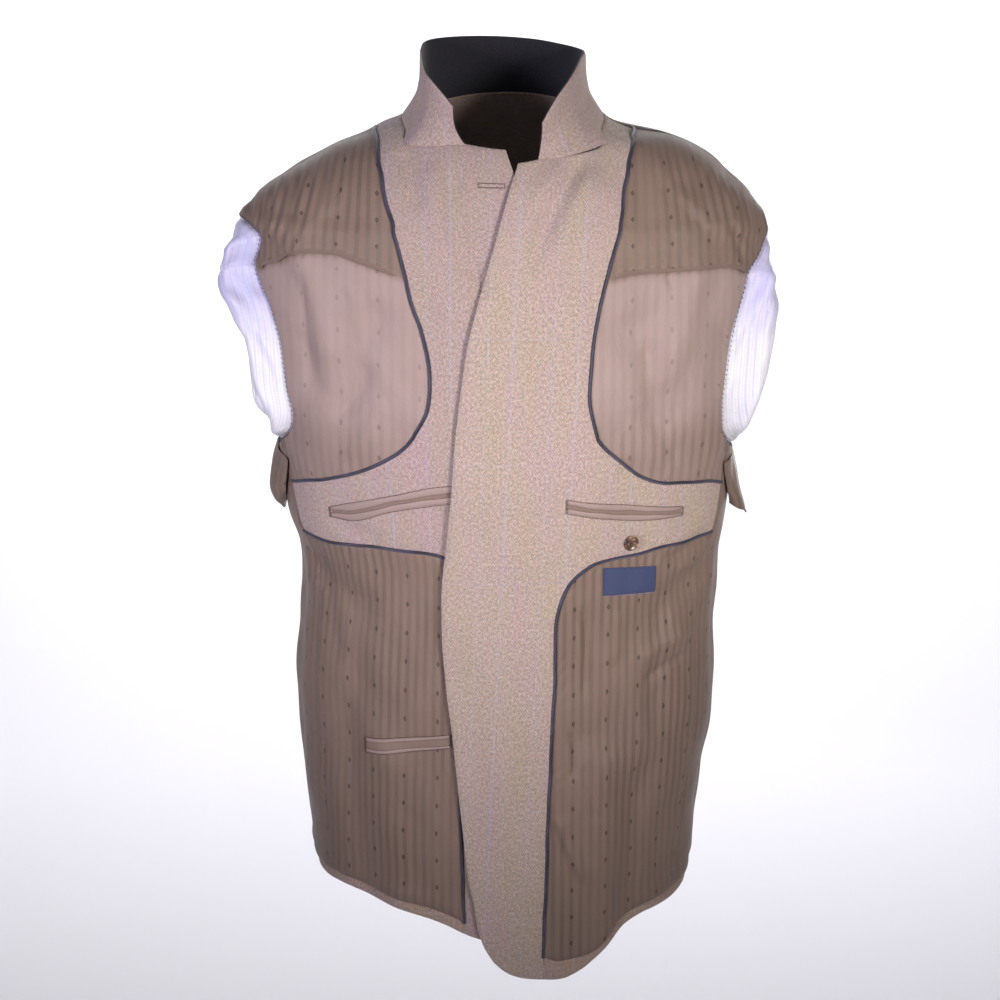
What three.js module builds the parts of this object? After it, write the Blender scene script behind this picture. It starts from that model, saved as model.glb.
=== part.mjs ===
// A sport coat worn inside out. The linings and the wool facings are on the outside, the wool shell is
// inside them, the collar is turned up and the sleeves hang inside the body.
// Sizes are in millimetres. +X is to the right of the front view, +Y is to the back and +Z is up.
// The origin is midway between the two neck points of the shoulder seams. Left and right are as seen
// from the front. A place on the body is a turn, in degrees from the centre front, and a height z.
import * as THREE from 'three';

// Cloth walls, as distances outwards from the body surface
const SHELL = { inner: 0, outer: 1.5 };
const LINING = { inner: 1.8, outer: 3.0 };
const TRIM = { inner: 3.5, outer: 4.6 };
const PIPING = { inner: 3.4, outer: 5.0 };
const LABEL = { inner: 3.5, outer: 4.4 };
const PIPING_WIDTH = 3.8;
const PLEAT_WIDTH = 4;
const SEAM_GAP = 0.3;
const STATION_SPACING = 2.5; // least distance between the cross lines of a strip on a panel
const HEM_FOLD = 1.2; // extra thickness of the turned-up hem of the shell

// The right front laps over the left one
const LAP = { height: 7, flatTo: 65, fadeTo: 135, from: -20, fullFrom: -60 };

const COLORS = {
  wool: 0xb89f8c,
  lining: 0x8c7570,
  sleeveLining: 0xe6e6f4,
  piping: 0x55557d,
  felt: 0x1f1f26,
  label: 0x3a4a7c,
  horn: 0x6b4a2f,
};

/** Turns rows of numbers into records with named columns. */
const rows = (columns, values) =>
  values.map((value) => Object.fromEntries(columns.map((name, i) => [name, value[i]])));

// Cross-sections of the worn body: half widths to the left and right, depths to the front and back
const SECTIONS = rows(['z', 'left', 'right', 'front', 'back'], [
  [20, 84, 83, 50, 58],
  [0, 92, 91, 66, 74],
  [-11, 116, 111, 79, 82],
  [-19, 135, 152, 87, 88],
  [-30, 161, 180, 95, 95],
  [-41, 182, 196, 102, 100],
  [-52, 203, 206, 108, 105],
  [-69, 226, 226, 115, 111],
  [-79, 235, 234, 119, 114],
  [-89, 246, 242, 123, 117],
  [-110, 246, 246, 128, 122],
  [-150, 240, 240, 136, 128],
  [-200, 232, 232, 142, 130],
  [-250, 225, 226, 145, 128],
  [-310, 217, 220, 146, 123],
  [-350, 213, 219, 144, 118],
  [-375, 210, 217, 143, 115],
  [-410, 201, 213, 142, 111],
  [-450, 200, 211, 142, 109],
  [-490, 203, 210, 143, 108],
  [-573, 209, 212, 148, 113],
  [-660, 205, 202, 154, 122],
  [-750, 198, 195, 158, 129],
  [-830, 190, 187, 160, 132],
]);
const SECTION_POWER = 2.2; // 2 is an ellipse, more is squarer

// Front edges, from the lapel corner to the hem corner. `out` is the distance from the centre towards
// the front's own side, so it is below zero where a front passes the centre.
const FRONT_EDGES = {
  left: rows(['z', 'out'], [
    [-18, -1], [-40, -9], [-80, -15], [-120, -24], [-160, -32], [-200, -39], [-250, -45], [-300, -50],
    [-360, -54], [-424, -57], [-470, -57], [-520, -53], [-600, -45], [-660, -39], [-711, -34],
    [-750, -27], [-772, -20], [-790, -12],
  ]),
  right: rows(['z', 'out'], [
    [-29, 12], [-47, 6], [-80, -4], [-107, -12], [-145, -23], [-186, -33], [-229, -39], [-271, -44],
    [-314, -47], [-364, -52], [-424, -57], [-465, -57], [-510, -54], [-557, -49], [-609, -44],
    [-664, -39], [-711, -34], [-738, -29], [-765, -25], [-782, -20], [-803, -9],
  ]),
};

// The seams of each front. The chest piping runs down from the shoulder to its bend and then out to the
// side seam, and the lower piping runs in from the side seam to its bend and then down to the hem.
const SEAM_COLUMNS = ['turn', 'z'];
const SEAMS = {
  left: {
    neck: rows(SEAM_COLUMNS, [[14, -14], [27.5, -15.5], [41, -16], [57, -7], [90, 0]]),
    chestDown: rows(SEAM_COLUMNS, [
      [90, -12], [67, -15], [53, -21], [40.7, -32], [29.7, -52], [22, -83], [19.4, -115], [17.9, -148],
      [16.2, -172], [15, -205], [15.6, -241], [19.5, -269],
    ]),
    chestOut: rows(SEAM_COLUMNS, [
      [19.5, -269], [22, -279], [28.6, -295], [37.2, -309], [47.6, -320], [58, -328], [68.5, -337],
    ]),
    lowerOut: rows(SEAM_COLUMNS, [
      [11.5, -396], [13.1, -387], [16.9, -382], [31, -380], [40, -382], [50, -385], [65, -384],
    ]),
    lowerDown: rows(SEAM_COLUMNS, [
      [11.5, -396], [10.6, -412], [10.3, -450], [10.3, -504], [10, -560], [10, -640], [9.8, -700],
      [9.6, -762],
    ]),
    armholeFront: rows(SEAM_COLUMNS, [
      [90, -90], [70, -91], [63.5, -101], [65, -115], [68.5, -128], [67, -145], [63, -160], [61, -185],
      [60.8, -212], [61, -240], [60.5, -266], [65, -285], [71, -294],
    ]),
    underarm: rows(SEAM_COLUMNS, [[71, -294], [80, -305], [90, -310], [101, -303], [112, -270]]),
    armholeBack: rows(SEAM_COLUMNS, [
      [90, -90], [104, -94], [112, -112], [115, -150], [116, -200], [116, -240], [112, -270],
    ]),
  },
  right: {
    neck: rows(SEAM_COLUMNS, [[8.3, -26], [18, -23], [39, -15.5], [57, -7], [90, 0]]),
    chestDown: rows(SEAM_COLUMNS, [
      [90, -11], [70, -12.5], [56, -16], [44, -22], [33.7, -33], [27.5, -55], [24.3, -74], [20.3, -108],
      [18.7, -140], [17.4, -174], [17, -208], [17.2, -236], [19.6, -269],
    ]),
    chestOut: rows(SEAM_COLUMNS, [
      [19.6, -269], [22, -280], [27.2, -296], [31.9, -309], [37.9, -318], [47.8, -324], [58.8, -330],
      [68.5, -338],
    ]),
    lowerOut: rows(SEAM_COLUMNS, [
      [14.3, -409], [16, -401], [19.6, -391], [24.8, -388], [34.4, -387], [42, -384], [53.6, -386],
      [65, -386],
    ]),
    lowerDown: rows(SEAM_COLUMNS, [
      [14.3, -409], [12.7, -421], [11.3, -445], [11, -504], [10.3, -562], [10, -620], [10, -652],
      [9.9, -701], [9.7, -747], [9.6, -796],
    ]),
    armholeFront: rows(SEAM_COLUMNS, [
      [90, -102], [75, -109], [71, -119], [65.5, -133], [65, -146], [62.7, -177], [62.2, -215],
      [62.2, -250], [63.7, -268], [66, -284], [71, -297],
    ]),
    underarm: rows(SEAM_COLUMNS, [[71, -297], [80, -309], [90, -315], [101, -306], [112, -272]]),
    armholeBack: rows(SEAM_COLUMNS, [
      [90, -102], [104, -103], [112, -118], [115, -152], [116, -200], [116, -240], [112, -272],
    ]),
  },
};
const SIDE_SEAM = rows(['z', 'turn'], [
  [-290, 71], [-338, 68.5], [-385, 65], [-450, 61.5], [-600, 60], [-830, 60],
]);
const BACK_SEAM = rows(['z', 'turn'], [[-268, 112], [-330, 116], [-400, 118], [-830, 119]]);
const BACK_NECK = rows(['turn', 'z'], [[115, 4], [138, 9], [160, 13], [180, 15]]);

// Heights of the two hems round the body. The lining ends just above the hem of the shell.
const HEMS = {
  left: rows(['turn', 'shell', 'lining'], [
    [-3, -790, -776], [6.3, -779, -768], [9.6, -775, -762], [14.9, -767, -754], [21.6, -760, -748],
    [28.9, -755, -744], [40.5, -753, -743], [49.8, -750, -740], [63.6, -754, -744], [75, -758, -748],
    [90, -764, -754], [120, -776, -766], [150, -788, -778], [180, -794, -784],
  ]),
  right: rows(['turn', 'shell', 'lining'], [
    [-1.8, -803, -782], [1.2, -815, -786], [4.8, -820, -790], [9.6, -822, -796], [14.3, -823, -803],
    [21, -817, -801], [28.5, -797, -787], [37.3, -781, -770], [47, -774, -764], [60, -775, -763],
    [75, -778, -766], [90, -781, -770], [120, -787, -777], [150, -792, -782], [180, -794, -784],
  ]),
};

// The largest folds, each a soft ridge or trough along a line. Turns to the left are below zero.
const FOLDS = rows(['turn', 'z', 'endTurn', 'endZ', 'width', 'height'], [
  [-46, -115, -41, -190, 16, 4],
  [-27, -160, -38, -240, 16, -4],
  [43, -130, 38, -215, 16, 4],
  [28, -170, 43, -245, 16, -4],
  [-62, -420, -40, -440, 20, -4],
  [-30, -600, -28, -745, 18, 4],
  [-45, -560, -42, -745, 18, -4],
  [62, -420, 42, -445, 20, -4],
  [18, -450, 19, -560, 16, -3],
  [24, -600, 27, -790, 18, 4],
  [38, -620, 36, -765, 18, -4],
  [78, -430, 80, -760, 20, -3],
  [-78, -430, -80, -750, 20, -3],
  [124, -110, 131, -400, 22, 5],
  [150, -150, 158, -420, 24, -4],
  [166, -430, 163, -780, 22, 5],
  [140, -460, 143, -775, 22, -5],
  [-126, -120, -133, -390, 22, 5],
  [-152, -140, -156, -430, 24, -4],
  [-164, -450, -166, -785, 22, 4],
  [-141, -440, -139, -760, 22, -5],
]);
const TURN_LENGTH = 3.3; // millimetres of cloth in one degree, for the distance to a fold

// The turned-up collar: the top edge at each station, from the front end round to the centre back
const COLLAR_TOPS = {
  left: rows(['out', 'y', 'z'], [
    [45, -80, 20], [59, -72, 37], [69, -58, 48], [73, -34, 57], [74, 0, 64], [70, 24, 67], [55, 42, 68],
    [30, 54, 68],
  ]),
  centre: { y: 58, z: 67 },
  right: rows(['out', 'y', 'z'], [
    [32, -92, 8], [44, -82, 27], [56, -64, 42], [67, -34, 56], [72, 0, 59], [66, 26, 60], [52, 42, 62],
    [29, 54, 65],
  ]),
};
const COLLAR = { lift: 1.9, bands: 3, spread: 2.5, under: { inner: 0, outer: 1.2 }, top: { inner: 1.5, outer: 2.7 } };

// How far the sleeve lining bulges past the body at each height
const SLEEVE_BULGE = {
  left: rows(['z', 'out'], [
    [-90, 6], [-95, 10], [-120, 19], [-145, 27], [-178, 22], [-196, 16], [-221, 17], [-248, 16],
    [-273, 11], [-290, 8], [-316, 6],
  ]),
  right: rows(['z', 'out'], [
    [-100, 5], [-111, 8], [-133, 14], [-176, 22], [-217, 27], [-248, 25], [-273, 17], [-300, 12],
    [-318, 9],
  ]),
};
// Rings of the bulge: the armhole drawn in by a scale, and how much of the bulge each one has
const BULGE_RINGS = rows(['scale', 'share', 'wave'], [
  [1, 0, 0], [0.985, 0.45, 0], [0.95, 0.85, 2], [0.86, 1, 3], [0.72, 0.97, 3],
]);
// Rings of the sleeve from its mouth to the cuff: where the centre is, and the size of the oval
const SLEEVE_RINGS = rows(['out', 'z', 'tilt', 'halfDepth', 'halfHeight', 'wave'], [
  [234, -196, 10, 31, 50, 2],
  [221, -200, 20, 32, 43, 1],
  [205, -210, 40, 36, 32, 0],
  [190, -232, 62, 43, 24, 0],
  [178, -266, 78, 49, 19, 0],
  [170, -312, 86, 53, 16, 0],
  [165, -400, 90, 55, 14, 0],
  [162, -520, 90, 53, 14, 0],
  [160, -672, 90, 49, 13, 0],
]);
const SLEEVE_MIDDLE_Y = -5;
const SLEEVE_WAVES = 4;
const SLEEVE_INSET = 1.95;
const SLEEVE_LINING = { inner: 0.3, outer: 1.3 };
const SLEEVE_WOOL = { inner: -1.8, outer: -0.3 };
const LINED_RINGS = 9; // the lining shows from the armhole to the first bend of the sleeve

// Underarm shields, hanging free below the armholes: how far each stands off the body on the way down
const SHIELD = {
  halfWidth: 50, drop: 66, top: -4, standOff: 3.6, bands: 4, columns: 8, wall: { inner: 0, outer: 1.2 },
  left: rows(['down', 'off'], [[0, 0], [0.3, 6], [0.6, 9], [0.85, 7], [1, 2]]),
  right: rows(['down', 'off'], [[0, 0], [0.3, 4], [0.6, 9], [0.85, 15], [1, 19]]),
};

// Pockets, in the front view: the lines of their upper and lower edges
const POCKET_COLUMNS = ['x', 'top', 'bottom'];
const POCKETS = {
  inner_pocket_left: {
    line: rows(POCKET_COLUMNS, [
      [-162, -348, -358], [-148, -342, -358], [-104, -327, -342], [-66, -316, -333], [-38, -312, -329],
    ]),
    slit: 1.2,
  },
  inner_pocket_right: {
    line: rows(POCKET_COLUMNS, [[56, -324, -337], [90, -331, -345], [126, -339, -353], [166, -348, -356]]),
    slit: 1.2,
  },
  low_pocket_left: {
    line: rows(POCKET_COLUMNS, [[-132, -577, -592], [-90, -570, -584], [-51, -564, -577]]),
    slit: 4,
  },
};
const PLEATS = {
  chest_pleat_left: rows(['x', 'z'], [
    [-222, -128], [-217, -122], [-204, -117], [-193, -110], [-183, -107], [-166, -105], [-150, -105],
    [-137, -108], [-124, -112], [-96, -121],
  ]),
  chest_pleat_right: rows(['x', 'z'], [
    [97, -123], [117, -120], [149, -120], [172, -120], [197, -121], [207, -123], [220, -131],
  ]),
};
const BUTTON = {
  x: 116, z: -374, segments: 16,
  // half of the button's section: radius and height from its back
  section: rows(['radius', 'height'], [
    [0, 0], [6.6, 0], [7.5, 0.9], [7.3, 2.2], [6.4, 2.7], [5.3, 2.1], [0, 1.9],
  ]),
};
const NAME_LABEL = { left: 90, right: 141, top: [-395, -402], bottom: [-423, -429] };

// Cells down each front: to the chest piping's bend, to the lower piping's bend, to the lining's hem
const DOWN = { chest: 10, belt: 4, skirt: 8 };
const ACROSS = { strap: 5, panel: 6, side: 3 };
const ARMHOLE_ROWS = { front: 8, back: 7 };
const EDGE_HEIGHTS = { left: [-18, -290, -440, -772, -790], right: [-29, -295, -440, -782, -803] };

/** A smooth curve through a table's points that never overshoots them, as a function of `from`. */
function profile(list, from, to) {
  const sorted = [...list].sort((a, b) => a[from] - b[from]);
  const at = sorted.map((row) => row[from]);
  const value = sorted.map((row) => row[to]);
  const last = at.length - 1;
  const step = (i) => at[i + 1] - at[i];
  const rise = (i) => (value[i + 1] - value[i]) / step(i);
  const slopes = at.map((_, i) => {
    if (i === 0) return rise(0);
    if (i === last) return rise(last - 1);
    if (rise(i - 1) * rise(i) <= 0) return 0;
    const before = 2 * step(i) + step(i - 1);
    const after = step(i) + 2 * step(i - 1);
    return (before + after) / (before / rise(i - 1) + after / rise(i));
  });
  return (x) => {
    if (x <= at[0]) return value[0] + slopes[0] * (x - at[0]);
    if (x >= at[last]) return value[last] + slopes[last] * (x - at[last]);
    const i = at.findIndex((start, k) => k < last && x >= start && x < at[k + 1]);
    const t = (x - at[i]) / step(i);
    const ahead = 1 - t;
    return value[i] * (1 + 2 * t) * ahead * ahead + slopes[i] * step(i) * t * ahead * ahead
      + value[i + 1] * t * t * (3 - 2 * t) - slopes[i + 1] * step(i) * t * t * ahead;
  };
}

const SIDES = { left: -1, right: 1 };
const halfWidth = { left: profile(SECTIONS, 'z', 'left'), right: profile(SECTIONS, 'z', 'right') };
const frontDepth = profile(SECTIONS, 'z', 'front');
const backDepth = profile(SECTIONS, 'z', 'back');
const sideOf = (value) => (value < 0 ? 'left' : 'right');

/** The body surface before its folds. */
function bareSurface(turn, z) {
  const angle = THREE.MathUtils.degToRad(turn);
  const rounded = (value) => Math.sign(value) * Math.abs(value) ** (2 / SECTION_POWER);
  const depth = Math.cos(angle) > 0 ? frontDepth(z) : backDepth(z);
  return new THREE.Vector3(
    halfWidth[sideOf(turn)](z) * rounded(Math.sin(angle)),
    -depth * rounded(Math.cos(angle)),
    z,
  );
}

/** The turn of the point of the front that is `x` from the centre at height z. */
function turnAt(x, z) {
  const share = Math.min(1, Math.abs(x) / halfWidth[sideOf(x)](z));
  return Math.sign(x) * THREE.MathUtils.radToDeg(Math.asin(share ** (SECTION_POWER / 2)));
}

const smooth = (t) => THREE.MathUtils.smoothstep(t, 0, 1);

/** Height of the folds at a place on the body. */
function foldHeight(turn, z) {
  let height = 0;
  for (const fold of FOLDS) {
    const along = new THREE.Vector2((fold.endTurn - fold.turn) * TURN_LENGTH, fold.endZ - fold.z);
    const away = new THREE.Vector2((turn - fold.turn) * TURN_LENGTH, z - fold.z);
    const share = THREE.MathUtils.clamp(away.dot(along) / along.lengthSq(), 0, 1);
    const distance = away.addScaledVector(along, -share).length();
    height += fold.height * Math.exp(-((distance / fold.width) ** 2));
  }
  return height;
}

/** How far the lapping front is raised over the other one. */
function lapHeight(x, z) {
  const down = smooth((LAP.from - z) / (LAP.from - LAP.fullFrom));
  return LAP.height * down * (1 - smooth((x - LAP.flatTo) / (LAP.fadeTo - LAP.flatTo)));
}

// Places that pieces share are made once, so that neighbours meet in the same points
const spots = new Map();

/** A place on the folded body with its outward direction. `lapped` raises it as part of the upper front. */
function spotAt([turn, z], lapped) {
  const key = `${turn.toFixed(4)} ${z.toFixed(4)} ${lapped}`;
  if (!spots.has(key)) {
    const point = bareSurface(turn, z);
    const along = bareSurface(turn + 0.5, z).sub(bareSurface(turn - 0.5, z));
    const up = bareSurface(turn, z + 1).sub(bareSurface(turn, z - 1));
    const normal = along.cross(up).normalize();
    point.addScaledVector(normal, foldHeight(turn, z) + (lapped ? lapHeight(point.x, z) : 0));
    spots.set(key, { point, normal });
  }
  return spots.get(key);
}

/** Places along a seam, spread evenly over its length: `steps` stretches, as [turn, z] pairs. */
function spread(seam, steps, sign) {
  const curve = new THREE.CatmullRomCurve3(
    seam.map(({ turn, z }) => new THREE.Vector3(turn * TURN_LENGTH, z, 0)), false, 'centripetal',
  );
  const samples = curve.getPoints(12 * seam.length).map(({ x, y }) => [x / TURN_LENGTH, y]);
  const lengths = [0];
  for (let i = 1; i < samples.length; i++) {
    lengths.push(lengths[i - 1] + bareSurface(...samples[i]).distanceTo(bareSurface(...samples[i - 1])));
  }
  return Array.from({ length: steps + 1 }, (_, k) => {
    const target = (k / steps) * lengths.at(-1);
    const i = Math.max(1, lengths.findIndex((length) => length >= target - 1e-9));
    const t = (target - lengths[i - 1]) / (lengths[i] - lengths[i - 1]);
    const [turn, z] = samples[i].map((value, n) => THREE.MathUtils.lerp(samples[i - 1][n], value, t));
    return [sign * turn, z];
  });
}

/** Places spread evenly in height between two heights on a line whose turn is a function of z. */
const between = (from, to, steps, turnOf) =>
  Array.from({ length: steps + 1 }, (_, k) => {
    const z = THREE.MathUtils.lerp(from, to, k / steps);
    return [turnOf(z), z];
  });

const mix = (a, b, t) => a.map((value, i) => THREE.MathUtils.lerp(value, b[i], t));

/**
 * Fills four edges with rows of places. The edges meet at their ends. With a larger `fade`, the shapes of
 * the top and bottom edges die out sooner on the way in.
 */
function fill(top, bottom, left, right, fade = 1) {
  const columns = top.length - 1;
  const lines = left.length - 1;
  return left.map((_, r) => top.map((__, c) => {
    if (r === 0) return top[c];
    if (r === lines) return bottom[c];
    if (c === 0) return left[r];
    if (c === columns) return right[r];
    const across = mix(left[r], right[r], c / columns);
    const plainTop = mix(top[0], top[columns], c / columns);
    const plainBottom = mix(bottom[0], bottom[columns], c / columns);
    const fromTop = (1 - r / lines) ** fade;
    const fromBottom = (r / lines) ** fade;
    return across.map((value, i) =>
      value + (top[c][i] - plainTop[i]) * fromTop + (bottom[c][i] - plainBottom[i]) * fromBottom);
  }));
}

/** Four-sided cells of a grid of spots, counter-clockwise from outside. `sign` is the side of the body. */
function cellsOf(grid, sign) {
  const cells = [];
  for (let r = 0; r + 1 < grid.length; r++) {
    for (let c = 0; c + 1 < grid[r].length; c++) {
      const cell = [grid[r + 1][c], grid[r + 1][c + 1], grid[r][c + 1], grid[r][c]];
      cells.push(sign > 0 ? cell : cell.reverse());
    }
  }
  return cells;
}

/**
 * A closed wall over cells, between two distances along the spots' directions. Its edges are drawn in
 * by half of the seam gap. A spot with `thicker` gets that much more on the outside.
 */
function wall(cells, { inner, outer }, gap = SEAM_GAP) {
  const index = new Map();
  const corners = [];
  for (const spot of cells.flat()) {
    if (!index.has(spot)) {
      index.set(spot, corners.length);
      corners.push(spot);
    }
  }
  const edges = new Map();
  for (const cell of cells) {
    cell.forEach((spot, k) => {
      const pair = [index.get(spot), index.get(cell[(k + 1) % cell.length])];
      const key = [...pair].sort((a, b) => a - b).join();
      if (edges.has(key)) edges.delete(key);
      else edges.set(key, pair);
    });
  }
  const inward = corners.map(() => []);
  for (const pair of edges.values()) {
    const along = corners[pair[1]].point.clone().sub(corners[pair[0]].point);
    for (const i of pair) inward[i].push(corners[i].normal.clone().cross(along).normalize());
  }
  const points = corners.map(({ point }, i) => {
    const [first, second] = inward[i];
    const moved = point.clone();
    if (first && second) moved.addScaledVector(first.clone().add(second), (gap / 2) / (1 + first.dot(second)));
    return moved;
  });
  const at = (i, distance) => points[i].clone().addScaledVector(corners[i].normal, distance);
  const inside = corners.map((_, i) => at(i, inner));
  const outside = corners.map((corner, i) => at(i, outer + (corner.thicker ?? 0)));
  const vertices = [...inside, ...outside];
  const count = corners.length;
  const faces = [];
  for (const cell of cells) {
    const [a, b, c, d] = cell.map((spot) => index.get(spot));
    faces.push([a + count, b + count, c + count], [a + count, c + count, d + count], [a, c, b], [a, d, c]);
  }
  for (const [a, b] of edges.values()) faces.push([a, b, b + count], [a, b + count, a + count]);
  const geometry = new THREE.BufferGeometry();
  geometry.setAttribute('position', new THREE.Float32BufferAttribute(vertices.flatMap((v) => v.toArray()), 3));
  geometry.setIndex(faces.flat());
  geometry.computeVertexNormals();
  return geometry;
}

const coat = new THREE.Group();

function addPiece(name, geometry, color, roughness = 0.9) {
  const material = new THREE.MeshStandardMaterial({ color: COLORS[color], roughness, metalness: 0 });
  const mesh = new THREE.Mesh(geometry, material);
  mesh.name = name;
  coat.add(mesh);
  return mesh;
}

/**
 * A band along a seam, lying on the panels at its two sides. Each entry has the seam's spot and a spot of
 * the panel at either side of it.
 */
function bandAlong(seam, width, layer, sign) {
  const grid = seam.map(({ spot, before, after }, i) => {
    const ahead = seam[Math.min(i + 1, seam.length - 1)].spot.point;
    const behind = seam[Math.max(i - 1, 0)].spot.point;
    const along = ahead.clone().sub(behind).normalize();
    const towards = (other) => {
      const way = other.point.clone().sub(spot.point);
      const share = width / 2 / way.addScaledVector(along, -way.dot(along)).length();
      return {
        point: spot.point.clone().lerp(other.point, share),
        normal: spot.normal.clone().lerp(other.normal, share),
      };
    };
    return [towards(before), spot, towards(after)];
  });
  return wall(cellsOf(grid, sign), layer, 0);
}

/** The place on a panel's flat cells that the front view shows at x and z. */
function onPanel(grid, x, z) {
  for (const cell of cellsOf(grid, 1)) {
    for (const corners of [[cell[0], cell[1], cell[2]], [cell[0], cell[2], cell[3]]]) {
      const [a, b, c] = corners.map(({ point }) => point);
      const area = (b.x - a.x) * (c.z - a.z) - (c.x - a.x) * (b.z - a.z);
      const shareB = ((x - a.x) * (c.z - a.z) - (c.x - a.x) * (z - a.z)) / area;
      const shareC = ((b.x - a.x) * (z - a.z) - (x - a.x) * (b.z - a.z)) / area;
      const shares = [1 - shareB - shareC, shareB, shareC];
      if (shares.every((share) => share >= -1e-6)) {
        const blend = (name) => corners.reduce(
          (sum, corner, i) => sum.addScaledVector(corner[name], shares[i]), new THREE.Vector3(),
        );
        return { point: blend('point'), normal: blend('normal') };
      }
    }
  }
  throw new Error(`no panel at ${x}, ${z}`);
}

/** Where a line z(x) crosses the edges of a panel's flat cells, between two x values. */
function crossings(grid, fromX, toX, zAt) {
  const found = [];
  for (const [a, b, c, d] of cellsOf(grid, 1)) {
    for (const [{ point: start }, { point: end }] of [[a, b], [b, c], [a, c], [c, d], [d, a]]) {
      const over = start.z - zAt(start.x);
      const under = end.z - zAt(end.x);
      const x = THREE.MathUtils.lerp(start.x, end.x, over / (over - under));
      if (over * under < 0 && x > fromX && x < toX) found.push(x);
    }
  }
  return found;
}

/** A strip across a panel, between two lines in the front view, in one or more bands. */
function stripAcross(grid, fromX, toX, topAt, bottomAt, layer, bands = 1) {
  const lines = Array.from({ length: bands + 1 }, (_, k) => (x) =>
    THREE.MathUtils.lerp(topAt(x), bottomAt(x), k / bands));
  const found = lines.flatMap((line) => crossings(grid, fromX, toX, line)).sort((a, b) => a - b);
  const stations = [fromX];
  for (const x of found) {
    if (x > stations.at(-1) + STATION_SPACING && x < toX - STATION_SPACING) stations.push(x);
  }
  stations.push(toX);
  const strip = lines.map((line) => stations.map((x) => onPanel(grid, x, line(x))));
  return wall(cellsOf(strip, 1), layer, 0);
}

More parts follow.
